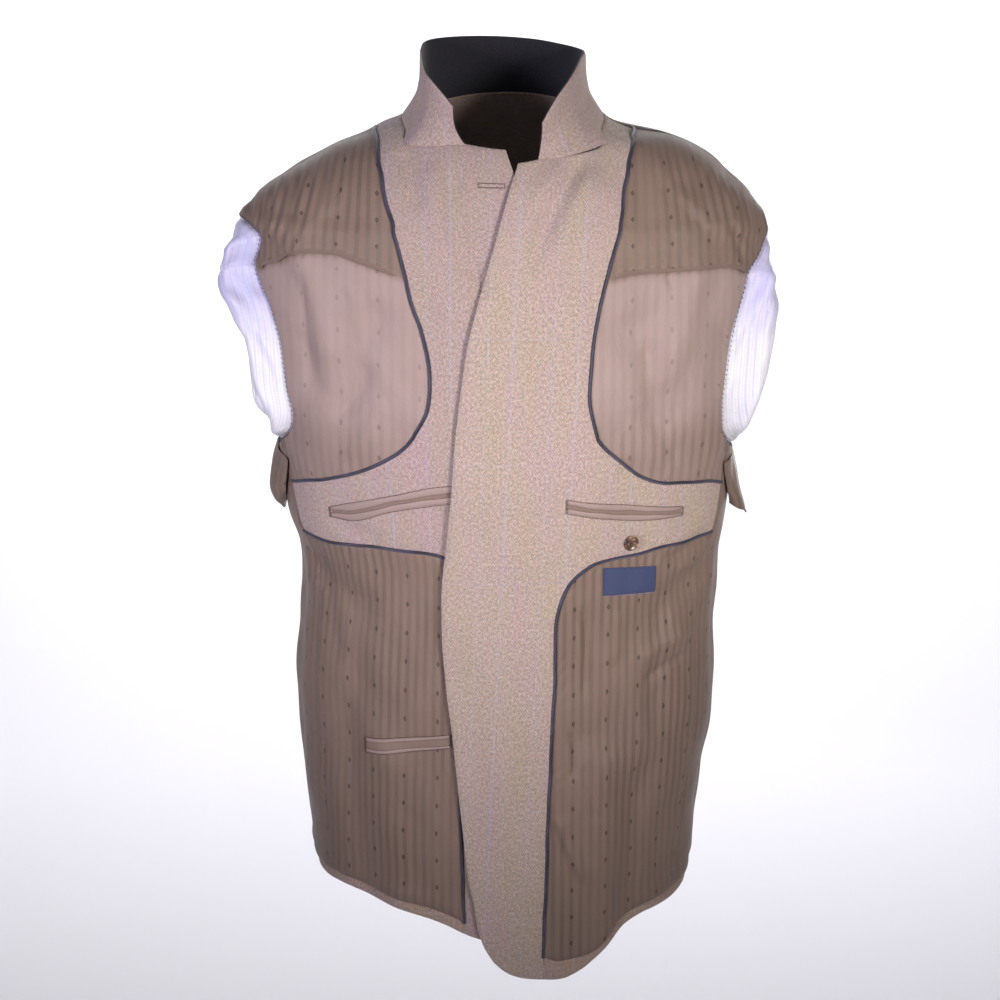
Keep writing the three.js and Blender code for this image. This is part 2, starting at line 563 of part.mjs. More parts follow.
/** Everything that lies on one side of the coat shares this plan of places. */
function planSide(side) {
  const sign = SIDES[side];
  const seams = SEAMS[side];
  const lapped = side === 'right';
  const pair = ({ turn, z }) => [sign * turn, z];
  const edge = profile(FRONT_EDGES[side], 'z', 'out');
  const [edgeTop, edgeBend, edgeBelt, edgeLining, edgeHem] = EDGE_HEIGHTS[side];
  const edgeTurn = (z) => turnAt(sign * edge(z), z);
  const neck = seams.neck.map(pair);
  const edgeLine = [
    ...[...neck].reverse(),
    ...between(edgeTop, edgeBend, DOWN.chest - neck.length, edgeTurn),
    ...between(edgeBend, edgeBelt, DOWN.belt, edgeTurn).slice(1),
    ...between(edgeBelt, edgeLining, DOWN.skirt, edgeTurn).slice(1),
    [edgeTurn(edgeHem), edgeHem],
  ];
  const hemAt = (name) => profile(HEMS[side], 'turn', name);
  const hemLine = (name, from, to, steps) => Array.from({ length: steps + 1 }, (_, k) => {
    const turn = THREE.MathUtils.lerp(from, to, k / steps);
    return [sign * turn, hemAt(name)(turn)];
  });

  const chestDown = spread(seams.chestDown, DOWN.chest, sign);
  const chestOut = spread(seams.chestOut, ACROSS.panel, sign);
  const lowerOut = spread(seams.lowerOut, ACROSS.panel, sign);
  const lowerDown = spread(seams.lowerDown, DOWN.skirt, sign);
  const inner = Math.abs(lowerDown.at(-1)[0]);
  const sideTurn = profile(SIDE_SEAM, 'z', 'turn');
  const backTurn = profile(BACK_SEAM, 'z', 'turn');
  const sideHem = sideTurn(-800);
  const backHem = backTurn(-800);

  const liningHem = {
    front: hemLine('lining', inner, sideHem, ACROSS.panel),
    side: hemLine('lining', sideHem, backHem, ACROSS.side),
  };
  const shellHem = {
    front: hemLine('shell', inner, sideHem, ACROSS.panel),
    side: hemLine('shell', sideHem, backHem, ACROSS.side),
  };
  liningHem.front[0] = lowerDown.at(-1);

  const armholeFront = spread(seams.armholeFront, ARMHOLE_ROWS.front, sign);
  const underarm = spread(seams.underarm, ACROSS.side, sign);
  const armholeBack = spread(seams.armholeBack, ARMHOLE_ROWS.back, sign);
  underarm[0] = armholeFront.at(-1);
  underarm[ACROSS.side] = armholeBack.at(-1);

  const seamRun = (from, to, steps, turnOf) => between(from, to, steps, (z) => sign * turnOf(z)).slice(1);
  const bendZ = chestOut.at(-1)[1];
  const beltZ = lowerOut.at(-1)[1];
  const besideChest = [armholeFront.at(-1), ...seamRun(armholeFront.at(-1)[1], bendZ, 2, sideTurn)];
  const besideBelt = [besideChest.at(-1), ...seamRun(bendZ, beltZ, DOWN.belt, sideTurn)];
  const besideSkirt = [besideBelt.at(-1), ...seamRun(beltZ, liningHem.side[0][1], DOWN.skirt, sideTurn)];
  besideSkirt[DOWN.skirt] = liningHem.side[0];
  chestOut[ACROSS.panel] = besideChest.at(-1);
  lowerOut[ACROSS.panel] = besideBelt.at(-1);
  liningHem.front[ACROSS.panel] = liningHem.side[0];
  shellHem.front[ACROSS.panel] = shellHem.side[0];

  const shoulder = between(chestDown[0][1], armholeFront[0][1], ACROSS.panel, () => sign * 90);
  const strapTop = between(neck.at(-1)[1], chestDown[0][1], ACROSS.strap, () => sign * 90);
  const bendToBend = Array.from({ length: DOWN.belt + 1 }, (_, k) =>
    mix(chestOut[0], lowerOut[0], k / DOWN.belt));
  const strapOuter = [...chestDown, ...bendToBend.slice(1), ...lowerDown.slice(1), shellHem.front[0]];
  const strapHem = Array.from({ length: strapTop.length }, (_, k) => {
    const turn = THREE.MathUtils.lerp(sign * edgeLine.at(-1)[0], inner, k / (strapTop.length - 1));
    return [sign * turn, hemAt('shell')(turn)];
  });
  strapHem[0] = edgeLine.at(-1);
  strapHem[strapHem.length - 1] = shellHem.front[0];

  const backSeam = [
    armholeBack.at(-1),
    ...seamRun(armholeBack.at(-1)[1], liningHem.side.at(-1)[1], 2 + DOWN.belt + DOWN.skirt, backTurn),
  ];
  backSeam[backSeam.length - 1] = liningHem.side.at(-1);
  const backNeck = BACK_NECK.map(pair);
  const backTop = [6, 4, 2, 0].map((k) => shoulder[k]).concat([neck.at(-1)], backNeck);
  const backColumns = backTop.length - 1;
  const backLiningHem = hemLine('lining', backHem, 180, backColumns);
  const backShellHem = hemLine('shell', backHem, 180, backColumns);
  backLiningHem[0] = liningHem.side.at(-1);
  backShellHem[0] = shellHem.side.at(-1);
  const backOuter = [...armholeBack, ...backSeam.slice(1)];
  const centreBack = between(backNeck.at(-1)[1], backLiningHem.at(-1)[1], backOuter.length - 1, () => sign * 180);

  const place = (grid, isLapped = false) => grid.map((line) => line.map((at) => spotAt(at, isLapped)));
  const plan = {
    sign,
    strap: place(fill(strapTop, strapHem, edgeLine, strapOuter), lapped),
    chest: place(fill(shoulder, chestOut, chestDown, [...armholeFront, ...besideChest.slice(1)]), lapped),
    belt: place(fill(chestOut, lowerOut, bendToBend, besideBelt), lapped),
    skirt: place(fill(lowerOut, liningHem.front, lowerDown, besideSkirt), lapped),
    side: place(fill(
      underarm, liningHem.side,
      [...besideChest, ...besideBelt.slice(1), ...besideSkirt.slice(1)], backSeam,
    )),
    back: place(fill(backTop, backLiningHem, backOuter, centreBack, 7)),
  };
  const frontHemSpots = place([shellHem.front], lapped)[0];
  const sideHemSpots = place([shellHem.side])[0];
  const backHemSpots = place([backShellHem])[0];
  for (const spot of [...plan.strap.at(-1), ...frontHemSpots, ...sideHemSpots, ...backHemSpots]) {
    spot.thicker = HEM_FOLD;
  }
  plan.hems = {
    skirt: [plan.skirt.at(-1), frontHemSpots],
    side: [plan.side.at(-1), sideHemSpots],
    back: [plan.back.at(-1), backHemSpots],
  };
  plan.armhole = place([[...armholeFront, ...underarm.slice(1), ...armholeBack.slice(1, -1).reverse()]])[0];
  plan.collarBase = place([[...neck, ...backNeck]], lapped)[0];
  const { strap, chest, belt, skirt } = plan;
  const inside = ACROSS.strap - 1;
  const bend = DOWN.chest;
  const lowerBend = DOWN.chest + DOWN.belt;
  const seam = (spot, before, after) => ({ spot, before, after });
  plan.chestPiping = [
    ...chest.slice(0, bend).map((line, r) => seam(line[0], strap[r][inside], line[1])),
    seam(chest[bend][0], strap[bend + 1][inside], chest[bend - 1][1]),
    ...chest[bend].slice(1).map((spot, c) => seam(spot, belt[1][c + 1], chest[bend - 1][c + 1])),
  ];
  plan.lowerPiping = [
    ...skirt[0].slice(1).map((spot, c) => seam(spot, belt[DOWN.belt - 1][c + 1], skirt[1][c + 1])).reverse(),
    seam(skirt[0][0], strap[lowerBend - 1][inside], skirt[1][1]),
    ...skirt.slice(1).map((line, r) => seam(line[0], strap[lowerBend + 1 + r][inside], line[1])),
  ];
  return plan;
}

/** The facing's hem row is not folded up, so its spots are the shell's without the extra thickness. */
const unfolded = (grid) => grid.map((line) => line.map((spot) => {
  if (!spot.thicker) return spot;
  spot.plain ??= { point: spot.point, normal: spot.normal };
  return spot.plain;
}));

/** The shell's hem row under the facing stays single too. */
function addBody(side, plan) {
  const { sign } = plan;
  const strap = cellsOf(unfolded(plan.strap), sign);
  const belt = cellsOf(plan.belt, sign);
  const front = [
    ...strap,
    ...[plan.chest, plan.belt, plan.skirt, unfolded(plan.hems.skirt)].flatMap((grid) => cellsOf(grid, sign)),
  ];
  addPiece(`shell_front_${side}`, wall(front, SHELL), 'wool');
  const rest = (name) => [...cellsOf(plan[name], sign), ...cellsOf(plan.hems[name], sign)];
  addPiece(`shell_side_${side}`, wall(rest('side'), SHELL), 'wool');
  addPiece(`shell_back_${side}`, wall(rest('back'), SHELL), 'wool');
  addPiece(`facing_${side}`, wall([...strap, ...belt], LINING), 'wool');
  for (const [name, part] of [['chest', 'chest'], ['lower', 'skirt'], ['side', 'side'], ['back', 'back']]) {
    addPiece(`${name}_lining_${side}`, wall(cellsOf(plan[part], sign), LINING), 'lining', 0.5);
  }
  addPiece(`chest_piping_${side}`, bandAlong(plan.chestPiping, PIPING_WIDTH, PIPING, sign), 'piping', 0.4);
  addPiece(`lower_piping_${side}`, bandAlong(plan.lowerPiping, PIPING_WIDTH, PIPING, sign), 'piping', 0.4);
}

/** Directions across a grid of points, from the lines through each point both ways. */
function withNormals(points, closed, sign) {
  const lines = points.length;
  const count = points[0].length;
  const around = (c) => (closed ? (c + count) % count : THREE.MathUtils.clamp(c, 0, count - 1));
  return points.map((line, r) => line.map((point, c) => {
    const along = line[around(c + 1)].clone().sub(line[around(c - 1)]);
    const down = points[Math.min(r + 1, lines - 1)][c].clone().sub(points[Math.max(r - 1, 0)][c]);
    return { point, normal: along.cross(down).normalize().multiplyScalar(sign) };
  }));
}

/** The collar: two layers round the neck from the left front end to the right one. */
function addCollar(plans) {
  const base = [...plans.left.collarBase, ...plans.right.collarBase.slice(0, -1).reverse()];
  const tops = [
    ...COLLAR_TOPS.left.map(({ out, y, z }) => new THREE.Vector3(-out, y, z)),
    new THREE.Vector3(0, COLLAR_TOPS.centre.y, COLLAR_TOPS.centre.z),
    ...[...COLLAR_TOPS.right].reverse().map(({ out, y, z }) => new THREE.Vector3(out, y, z)),
  ];
  const line = Array.from({ length: COLLAR.bands + 1 }, (_, r) => r / COLLAR.bands);
  const rise = (from, top, share) => {
    const across = 1 - (1 - share) ** COLLAR.spread;
    return new THREE.Vector3(
      THREE.MathUtils.lerp(from.x, top.x, across),
      THREE.MathUtils.lerp(from.y, top.y, across),
      THREE.MathUtils.lerp(from.z, top.z, share),
    );
  };
  const points = line.map((share) => base.map(({ point }, i) => {
    const start = rise(point, tops[i], 0.05).sub(point).setLength(COLLAR.lift).add(point);
    return rise(start, tops[i], share);
  }));
  const grid = withNormals(points, false, -1);
  grid[0].forEach((spot, i) => spot.normal.add(base[i].normal).normalize());
  const cells = cellsOf(grid, 1);
  addPiece('undercollar', wall(cells, COLLAR.under, 0), 'felt');
  addPiece('top_collar', wall(cells, COLLAR.top, 0), 'wool');
}

/** A sleeve: out of the armhole as a soft bulge, back in through its mouth and down inside the body. */
function addSleeve(side, plan) {
  const { sign } = plan;
  const loop = plan.armhole.map(({ point }) => point);
  const centre = loop.reduce((sum, point) => sum.add(point), new THREE.Vector3()).divideScalar(loop.length);
  const bulge = profile(SLEEVE_BULGE[side], 'z', 'out');
  const arms = loop.map((point, k) => {
    const along = loop[(k + 1) % loop.length].clone().sub(loop.at(k - 1));
    const inwards = new THREE.Vector2(-along.z, along.y).setLength(SLEEVE_INSET);
    return new THREE.Vector2(point.y - centre.y, point.z - centre.z).add(inwards);
  });
  const ripple = (k, ring, height) =>
    height * Math.cos(2 * Math.PI * SLEEVE_WAVES * (k / loop.length) + 0.6 * ring);
  const bulgeRings = BULGE_RINGS.map(({ scale, share, wave }, ring) => loop.map((point, k) => {
    const arm = arms[k].clone().multiplyScalar(scale);
    const z = centre.z + arm.y;
    const full = sign * (halfWidth[side](z) + bulge(z) - SLEEVE_LINING.outer + ripple(k, ring, wave));
    return new THREE.Vector3(THREE.MathUtils.lerp(point.x, full, share), centre.y + arm.x, z);
  }));
  const tubeRings = SLEEVE_RINGS.map(({ out, z, tilt, halfDepth, halfHeight, wave }, ring) => {
    const lean = THREE.MathUtils.degToRad(tilt);
    return arms.map((arm, k) => {
      const angle = Math.atan2(arm.x, arm.y);
      const up = (halfHeight + ripple(k, ring + BULGE_RINGS.length, wave)) * Math.cos(angle);
      const y = SLEEVE_MIDDLE_Y + halfDepth * Math.sin(angle);
      return new THREE.Vector3(sign * (out - up * Math.sin(lean)), y, z + up * Math.cos(lean));
    });
  });
  const grid = withNormals([...bulgeRings, ...tubeRings], true, sign);
  for (const line of grid) line.push(line[0]);
  addPiece(`sleeve_${side}`, wall(cellsOf(grid, -sign), SLEEVE_WOOL, 0), 'wool');
  const lined = grid.slice(0, LINED_RINGS);
  addPiece(`sleeve_lining_${side}`, wall(cellsOf(lined, -sign), SLEEVE_LINING, 0), 'sleeveLining', 0.4);
}

/** A half-moon shield that hangs from the underarm seam, standing off the side of the body. */
function addShield(side) {
  const sign = SIDES[side];
  const off = profile(SHIELD[side], 'down', 'off');
  const underarm = SEAMS[side].underarm[2].z;
  const points = Array.from({ length: SHIELD.bands + 1 }, (_, r) => {
    const down = r / SHIELD.bands;
    return Array.from({ length: SHIELD.columns + 1 }, (__, c) => {
      const across = (2 * c) / SHIELD.columns - 1;
      const reach = SHIELD.halfWidth * (1 - 0.45 * down ** 2);
      const z = underarm + SHIELD.top - SHIELD.drop * down * (1 - 0.3 * across ** 2);
      const turn = sign * (90 - (across * reach) / 2.4);
      const surface = spotAt([turn, z], false);
      return surface.point.clone().addScaledVector(surface.normal, SHIELD.standOff + off(down) * (1 - 0.5 * across ** 2));
    });
  });
  const grid = withNormals(points, false, sign);
  addPiece(`underarm_shield_${side}`, wall(cellsOf(grid, -sign), SHIELD.wall, 0), 'lining', 0.5);
}

/** The two jets of a pocket, above and below its slit. */
function addPocket(name, grid) {
  const { line, slit } = POCKETS[name];
  const top = profile(line, 'x', 'top');
  const bottom = profile(line, 'x', 'bottom');
  const jet = (x) => (top(x) - bottom(x) - slit) / 2;
  const [from, to] = [line[0].x, line.at(-1).x];
  addPiece(`${name}_upper_jet`, stripAcross(grid, from, to, top, (x) => top(x) - jet(x), TRIM), 'lining');
  addPiece(`${name}_lower_jet`, stripAcross(grid, from, to, (x) => bottom(x) + jet(x), bottom, TRIM), 'lining');
}

function addPleat(name, grid) {
  const line = PLEATS[name];
  const z = profile(line, 'x', 'z');
  const half = PLEAT_WIDTH / 2;
  const strip = stripAcross(grid, line[0].x, line.at(-1).x, (x) => z(x) + half, (x) => z(x) - half, TRIM);
  addPiece(name, strip, 'lining', 0.5);
}

function addButton(grid) {
  const outline = BUTTON.section.map(({ radius, height }) => new THREE.Vector2(radius, height));
  const place = onPanel(grid, BUTTON.x, BUTTON.z);
  const normal = place.normal.clone().normalize();
  const button = addPiece('inner_button', new THREE.LatheGeometry(outline, BUTTON.segments), 'horn', 0.35);
  button.quaternion.setFromUnitVectors(new THREE.Vector3(0, 1, 0), normal);
  button.position.copy(place.point).addScaledVector(normal, TRIM.inner + 0.2);
}

function addLabel(grid) {
  const ends = (heights) => profile(
    heights.map((z, i) => ({ x: i ? NAME_LABEL.right : NAME_LABEL.left, z })), 'x', 'z',
  );
  const strip = stripAcross(grid, NAME_LABEL.left, NAME_LABEL.right, ends(NAME_LABEL.top), ends(NAME_LABEL.bottom), LABEL, 4);
  addPiece('label', strip, 'label', 0.6);
}

/** The facing from its front edge to the side seam, over the height of the breast pocket. */
const beltOf = (plan) => {
  const strapRows = plan.strap.slice(DOWN.chest, DOWN.chest + DOWN.belt + 1);
  return strapRows.map((line, r) => [...line, ...plan.belt[r].slice(1)]);
};
/** Grids are read in the front view with x rising, so the left side is turned round. */
const inFrontView = (grid, sign) => (sign > 0 ? grid : grid.map((line) => [...line].reverse()));

const plans = { left: planSide('left'), right: planSide('right') };
for (const [side, plan] of Object.entries(plans)) {
  addBody(side, plan);
  addSleeve(side, plan);
  addShield(side);
  addPocket(`inner_pocket_${side}`, inFrontView(beltOf(plan), plan.sign));
  addPleat(`chest_pleat_${side}`, inFrontView(plan.chest, plan.sign));
}
addCollar(plans);
addPocket('low_pocket_left', inFrontView(plans.left.skirt, -1));
addButton(beltOf(plans.right));
addLabel(plans.right.skirt);

export default coat;
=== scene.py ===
"""The look of a sport coat that is worn inside out.

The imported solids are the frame. Each piece of cloth is made again here from the same sizes as a thin
shell with its seams, puckers and creases, and stands for its solid. Tables are in millimetres, with
+X to the right of the front view, +Y to the back and +Z up. A place on the body is a turn, in degrees
from the centre front, and a height z. Left and right are as seen from the front.
"""

import math

import bmesh
import bpy
import numpy as np
from mathutils import Matrix, Vector


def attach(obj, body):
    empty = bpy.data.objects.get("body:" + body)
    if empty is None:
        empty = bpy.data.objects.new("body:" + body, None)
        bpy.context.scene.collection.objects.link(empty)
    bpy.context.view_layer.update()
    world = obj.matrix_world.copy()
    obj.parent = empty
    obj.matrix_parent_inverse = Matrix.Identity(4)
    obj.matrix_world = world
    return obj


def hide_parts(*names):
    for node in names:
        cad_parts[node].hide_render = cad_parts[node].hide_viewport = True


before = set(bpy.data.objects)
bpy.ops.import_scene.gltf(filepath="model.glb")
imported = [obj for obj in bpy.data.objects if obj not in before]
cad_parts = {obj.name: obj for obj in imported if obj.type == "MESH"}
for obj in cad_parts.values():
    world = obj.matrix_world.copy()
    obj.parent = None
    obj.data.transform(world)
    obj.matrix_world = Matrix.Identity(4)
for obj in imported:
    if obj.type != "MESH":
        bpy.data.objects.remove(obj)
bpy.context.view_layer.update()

MM = 0.001
SIDES = {"left": -1, "right": 1}


def table(columns, *rows):
    """A short table with named columns, as one array for each column."""
    return dict(zip(columns.split(), np.array(rows, float).T))


# The body surface of the coat: half widths and depths at each height
SECTIONS = table(
    "z left right front back",
    (20, 84, 83, 50, 58),
    (0, 92, 91, 66, 74),
    (-11, 116, 111, 79, 82),
    (-19, 135, 152, 87, 88),
    (-30, 161, 180, 95, 95),
    (-41, 182, 196, 102, 100),
    (-52, 203, 206, 108, 105),
    (-69, 226, 226, 115, 111),
    (-79, 235, 234, 119, 114),
    (-89, 246, 242, 123, 117),
    (-110, 246, 246, 128, 122),
    (-150, 240, 240, 136, 128),
    (-200, 232, 232, 142, 130),
    (-250, 225, 226, 145, 128),
    (-310, 217, 220, 146, 123),
    (-350, 213, 219, 144, 118),
    (-375, 210, 217, 143, 115),
    (-410, 201, 213, 142, 111),
    (-450, 200, 211, 142, 109),
    (-490, 203, 210, 143, 108),
    (-573, 209, 212, 148, 113),
    (-660, 205, 202, 154, 122),
    (-750, 198, 195, 158, 129),
    (-830, 190, 187, 160, 132),
)
SECTION_POWER = 2.2
LAP = {"height": 7, "flat_to": 65, "fade_to": 135, "start": -20, "full": -60}

# Front edges: distance from the centre towards the front's own side
FRONT_EDGES = {
    "left": table(
        "z out",
        (-18, -1), (-40, -9), (-80, -15), (-120, -24), (-160, -32), (-200, -39), (-250, -45),
        (-300, -50), (-360, -54), (-424, -57), (-470, -57), (-520, -53), (-600, -45), (-660, -39),
        (-711, -34), (-750, -27), (-772, -20), (-790, -12),
    ),
    "right": table(
        "z out",
        (-29, 12), (-47, 6), (-80, -4), (-107, -12), (-145, -23), (-186, -33), (-229, -39),
        (-271, -44), (-314, -47), (-364, -52), (-424, -57), (-465, -57), (-510, -54), (-557, -49),
        (-609, -44), (-664, -39), (-711, -34), (-738, -29), (-765, -25), (-782, -20), (-803, -9),
    ),
}
EDGE_HEIGHTS = {"left": (-18, -290, -440, -772, -790), "right": (-29, -295, -440, -782, -803)}

SEAMS = {
    "left": {
        "neck": ((14, -14), (27.5, -15.5), (41, -16), (57, -7), (90, 0)),
        "chest_down": (
            (90, -12), (67, -15), (53, -21), (40.7, -32), (29.7, -52), (22, -83), (19.4, -115),
            (17.9, -148), (16.2, -172), (15, -205), (15.6, -241), (19.5, -269),
        ),
        "chest_out": (
            (19.5, -269), (22, -279), (28.6, -295), (37.2, -309), (47.6, -320), (58, -328),
            (68.5, -337),
        ),
        "lower_out": (
            (11.5, -396), (13.1, -387), (16.9, -382), (31, -380), (40, -382), (50, -385), (65, -384),
        ),
        "lower_down": (
            (11.5, -396), (10.6, -412), (10.3, -450), (10.3, -504), (10, -560), (10, -640),
            (9.8, -700), (9.6, -762),
        ),
        "armhole_front": (
            (90, -90), (70, -91), (63.5, -101), (65, -115), (68.5, -128), (67, -145), (63, -160),
            (61, -185), (60.8, -212), (61, -240), (60.5, -266), (65, -285), (71, -294),
        ),
        "underarm": ((71, -294), (80, -305), (90, -310), (101, -303), (112, -270)),
        "armhole_back": (
            (90, -90), (104, -94), (112, -112), (115, -150), (116, -200), (116, -240), (112, -270),
        ),
    },
    "right": {
        "neck": ((8.3, -26), (18, -23), (39, -15.5), (57, -7), (90, 0)),
        "chest_down": (
            (90, -13), (70, -14), (54, -16.6), (42.4, -22.4), (34.4, -33), (27.9, -55), (24.3, -74),
            (20.3, -108), (18.7, -140), (17.4, -174), (17, -208), (17.2, -236), (19.6, -269),
        ),
        "chest_out": (
            (19.6, -269), (22, -280), (27.2, -296), (31.9, -309), (37.9, -318), (47.8, -324),
            (58.8, -330), (68.5, -338),
        ),
        "lower_out": (
            (14.3, -409), (16, -401), (19.6, -391), (24.8, -388), (34.4, -387), (42, -384),
            (53.6, -386), (65, -386),
        ),
        "lower_down": (
            (14.3, -409), (12.7, -421), (11.3, -445), (11, -504), (10.3, -562), (10, -620),
            (10, -652), (9.9, -701), (9.7, -747), (9.6, -796),
        ),
        "armhole_front": (
            (90, -102), (75, -109), (71, -119), (65.5, -133), (65, -146), (62.7, -177), (62.2, -215),
            (62.2, -250), (63.7, -268), (66, -284), (71, -297),
        ),
        "underarm": ((71, -297), (80, -309), (90, -315), (101, -306), (112, -272)),
        "armhole_back": (
            (90, -102), (104, -103), (112, -118), (115, -152), (116, -200), (116, -240), (112, -272),
        ),
    },
}
SIDE_SEAM = table("z turn", (-290, 71), (-338, 68.5), (-385, 65), (-450, 61.5), (-600, 60), (-830, 60))
BACK_SEAM = table("z turn", (-268, 112), (-330, 116), (-400, 118), (-830, 119))
BACK_NECK = ((90, 0), (115, 4), (138, 9), (160, 13), (180, 15))
HEMS = {
    "left": table(
        "turn shell lining",
        (-3, -790, -776), (6.3, -779, -768), (9.6, -775, -762), (14.9, -767, -754),
        (21.6, -760, -748), (28.9, -755, -744), (40.5, -753, -743), (49.8, -750, -740),
        (63.6, -754, -744), (75, -758, -748), (90, -764, -754), (120, -776, -766),
        (150, -788, -778), (180, -794, -784),
    ),
    "right": table(
        "turn shell lining",
        (-1.8, -803, -782), (1.2, -815, -786), (4.8, -820, -790), (9.6, -822, -796),
        (14.3, -823, -803), (21, -817, -801), (28.5, -797, -787), (37.3, -781, -770),
        (47, -774, -764), (60, -775, -763), (75, -778, -766), (90, -781, -770),
        (120, -787, -777), (150, -792, -782), (180, -794, -784),
    ),
}

# The largest folds, which the solids have too. Turns to the left are below zero.
FOLDS = table(
    "turn z end_turn end_z width height",
    (-46, -115, -41, -190, 16, 4), (-27, -160, -38, -240, 16, -4), (43, -130, 38, -215, 16, 4),
    (28, -170, 43, -245, 16, -4), (-62, -420, -40, -440, 20, -4), (-30, -600, -28, -745, 18, 4),
    (-45, -560, -42, -745, 18, -4), (62, -420, 42, -445, 20, -4), (18, -450, 19, -560, 16, -3),
    (24, -600, 27, -790, 18, 4), (38, -620, 36, -765, 18, -4), (78, -430, 80, -760, 20, -3),
    (-78, -430, -80, -750, 20, -3), (124, -110, 131, -400, 22, 5), (150, -150, 158, -420, 24, -4),
    (166, -430, 163, -780, 22, 5), (140, -460, 143, -775, 22, -5), (-126, -120, -133, -390, 22, 5),
    (-152, -140, -156, -430, 24, -4), (-164, -450, -166, -785, 22, 4),
    (-141, -440, -139, -760, 22, -5),
)
TURN_LENGTH = 3.3

# Creases of the cloth, on the front view's plane. A bow bends the line to its left. A side of 1 is
# the front of the body and -1 is the back.
CREASES = table(
    "side x z end_x end_z bow width height",
    (1, 72, -22, 18, -128, -6, 7, -3.8), (1, 80, -30, 44, -118, -4, 8, 2.8),
    (1, 50, -26, 14, -86, -3, 8, 1.8), (1, 60, -120, 30, -250, 3, 16, 1.6),
    (1, -95, -20, -76, -72, 3, 8, -2.4), (1, -46, -30, -28, -128, -5, 9, -2.6),
    (1, -64, -26, -50, -110, -4, 9, 1.8), (1, -30, -110, -16, -142, 2, 5, -3.0),
    (1, -70, -130, -58, -240, -4, 12, -1.6), (1, -62, -330, -58, -392, 2, 8, -2.2),
    (1, 20, -180, 6, -330, 4, 18, -1.6), (1, -8, -440, -2, -640, -5, 20, 1.6),
    (1, 36, -330, 30, -440, 3, 14, -1.4), (1, 100, -300, 150, -322, 6, 9, -1.5),
    (1, -110, -372, -170, -352, 5, 9, -1.5), (1, -30, -520, -24, -720, 6, 12, -1.6),
    (1, 73, -428, 76, -533, 2, 3, -3.2), (1, 62, -556, 64, -611, 3, 2.6, -2.8),
    (1, 43, -644, 77, -730, -3, 3.6, -2.2), (1, 52, -642, 86, -726, -3, 6, 3.2),
    (1, 78, -588, 93, -662, -2, 5, -2.2), (1, 132, -522, 178, -505, 4, 6, -2.2),
    (1, 126, -498, 182, -480, 4, 8, 2.2), (1, 104, -440, 100, -500, 3, 8, 1.6),
    (1, 120, -470, 128, -640, 4, 12, 1.6), (1, 150, -430, 146, -610, -4, 10, -1.6),
    (1, 150, -398, 196, -376, -5, 7, -2.2), (1, 160, -412, 200, -396, -4, 8, 1.8),
    (1, -120, -200, -160, -262, 7, 9, -1.6), (1, -108, -230, -150, -300, 6, 8, 1.4),
    (1, -190, -180, -168, -246, 5, 8, -1.4), (1, 128, -180, 150, -280, -6, 9, -1.7),
    (1, 146, -172, 170, -262, -6, 8, 1.4), (1, 116, -240, 160, -310, 6, 9, -1.4),
    (1, 196, -170, 188, -250, 4, 8, -1.3), (1, -150, -420, -140, -560, 4, 12, -1.4),
    (1, -110, -430, -116, -620, -4, 14, 1.4), (1, -175, -400, -160, -520, 4, 8, -1.8),
    (1, -90, -640, -84, -735, 3, 10, -1.5), (1, 160, -650, 150, -760, -4, 12, -1.6),
    (1, 200, -86, 219, -125, 2, 3, -1.9), (1, -186, -122, -179, -248, 3, 6, -1.7),
    (1, 145, -122, 152, -140, 0, 3, -1.6), (1, -140, -128, -128, -190, 4, 6, 1.4),
    (-1, 60, -90, 96, -240, 6, 12, -1.8), (-1, -70, -100, -104, -260, -6, 12, -1.8),
    (-1, 20, -120, -14, -300, 5, 16, 1.5), (-1, 90, -330, 60, -470, 6, 14, -1.7),
    (-1, -96, -340, -70, -480, -6, 14, -1.6), (-1, -30, -420, 10, -600, 8, 18, 1.6),
    (-1, 110, -520, 118, -730, 4, 13, -1.6), (-1, -118, -540, -112, -740, 4, 13, -1.5),
)
COLLAR_CREASES = table(
    "x z end_x end_z bow width height",
    (84, -18, 70, 30, 3, 6, -2.4), (-90, -14, -74, 30, -3, 6, -2.2), (50, -40, 58, 10, 3, 9, 1.4),
    (-56, -30, -60, 16, 3, 9, 1.3),
)
# Ripples that fan out from the shoulder seams
SHOULDER_RIPPLES = table(
    "x z end_x end_z bow width height",
    (-178, -38, -200, -112, 5, 4, 2.0), (-190, -44, -209, -108, 4, 3.5, 1.8),
    (-166, -33, -190, -112, 6, 4, 1.9), (-203, -53, -217, -104, 3, 3.2, 1.6),
    (-214, -62, -226, -100, 3, 3, 1.4), (-152, -28, -174, -92, 5, 4.5, 1.5),
    (-138, -24, -158, -78, 5, 5, 1.1), (-226, -72, -234, -104, 2, 3, 1.2),
    (176, -32, 204, -104, -7, 4, 2.0), (188, -40, 212, -108, -6, 3.5, 1.9),
    (164, -28, 194, -100, -7, 4, 1.8), (198, -48, 219, -102, -5, 3.2, 1.8),
    (208, -56, 226, -104, -4, 3, 1.6), (150, -25, 182, -84, -7, 4.5, 1.5),
    (218, -66, 232, -108, -3, 3, 1.4), (136, -23, 168, -70, -6, 5, 1.2),
)

COLLAR_TOPS = {
    "left": ((45, -80, 20), (59, -72, 37), (69, -58, 48), (73, -34, 57), (74, 0, 64), (70, 24, 67),
             (55, 42, 68), (30, 54, 68)),
    "centre": (0, 58, 67),
    "right": ((32, -92, 8), (44, -82, 27), (56, -64, 42), (67, -34, 56), (72, 0, 59), (66, 26, 60),
              (52, 42, 62), (29, 54, 65)),
}
COLLAR_LIFT = 0.285
COLLAR_SPREAD = 2.5

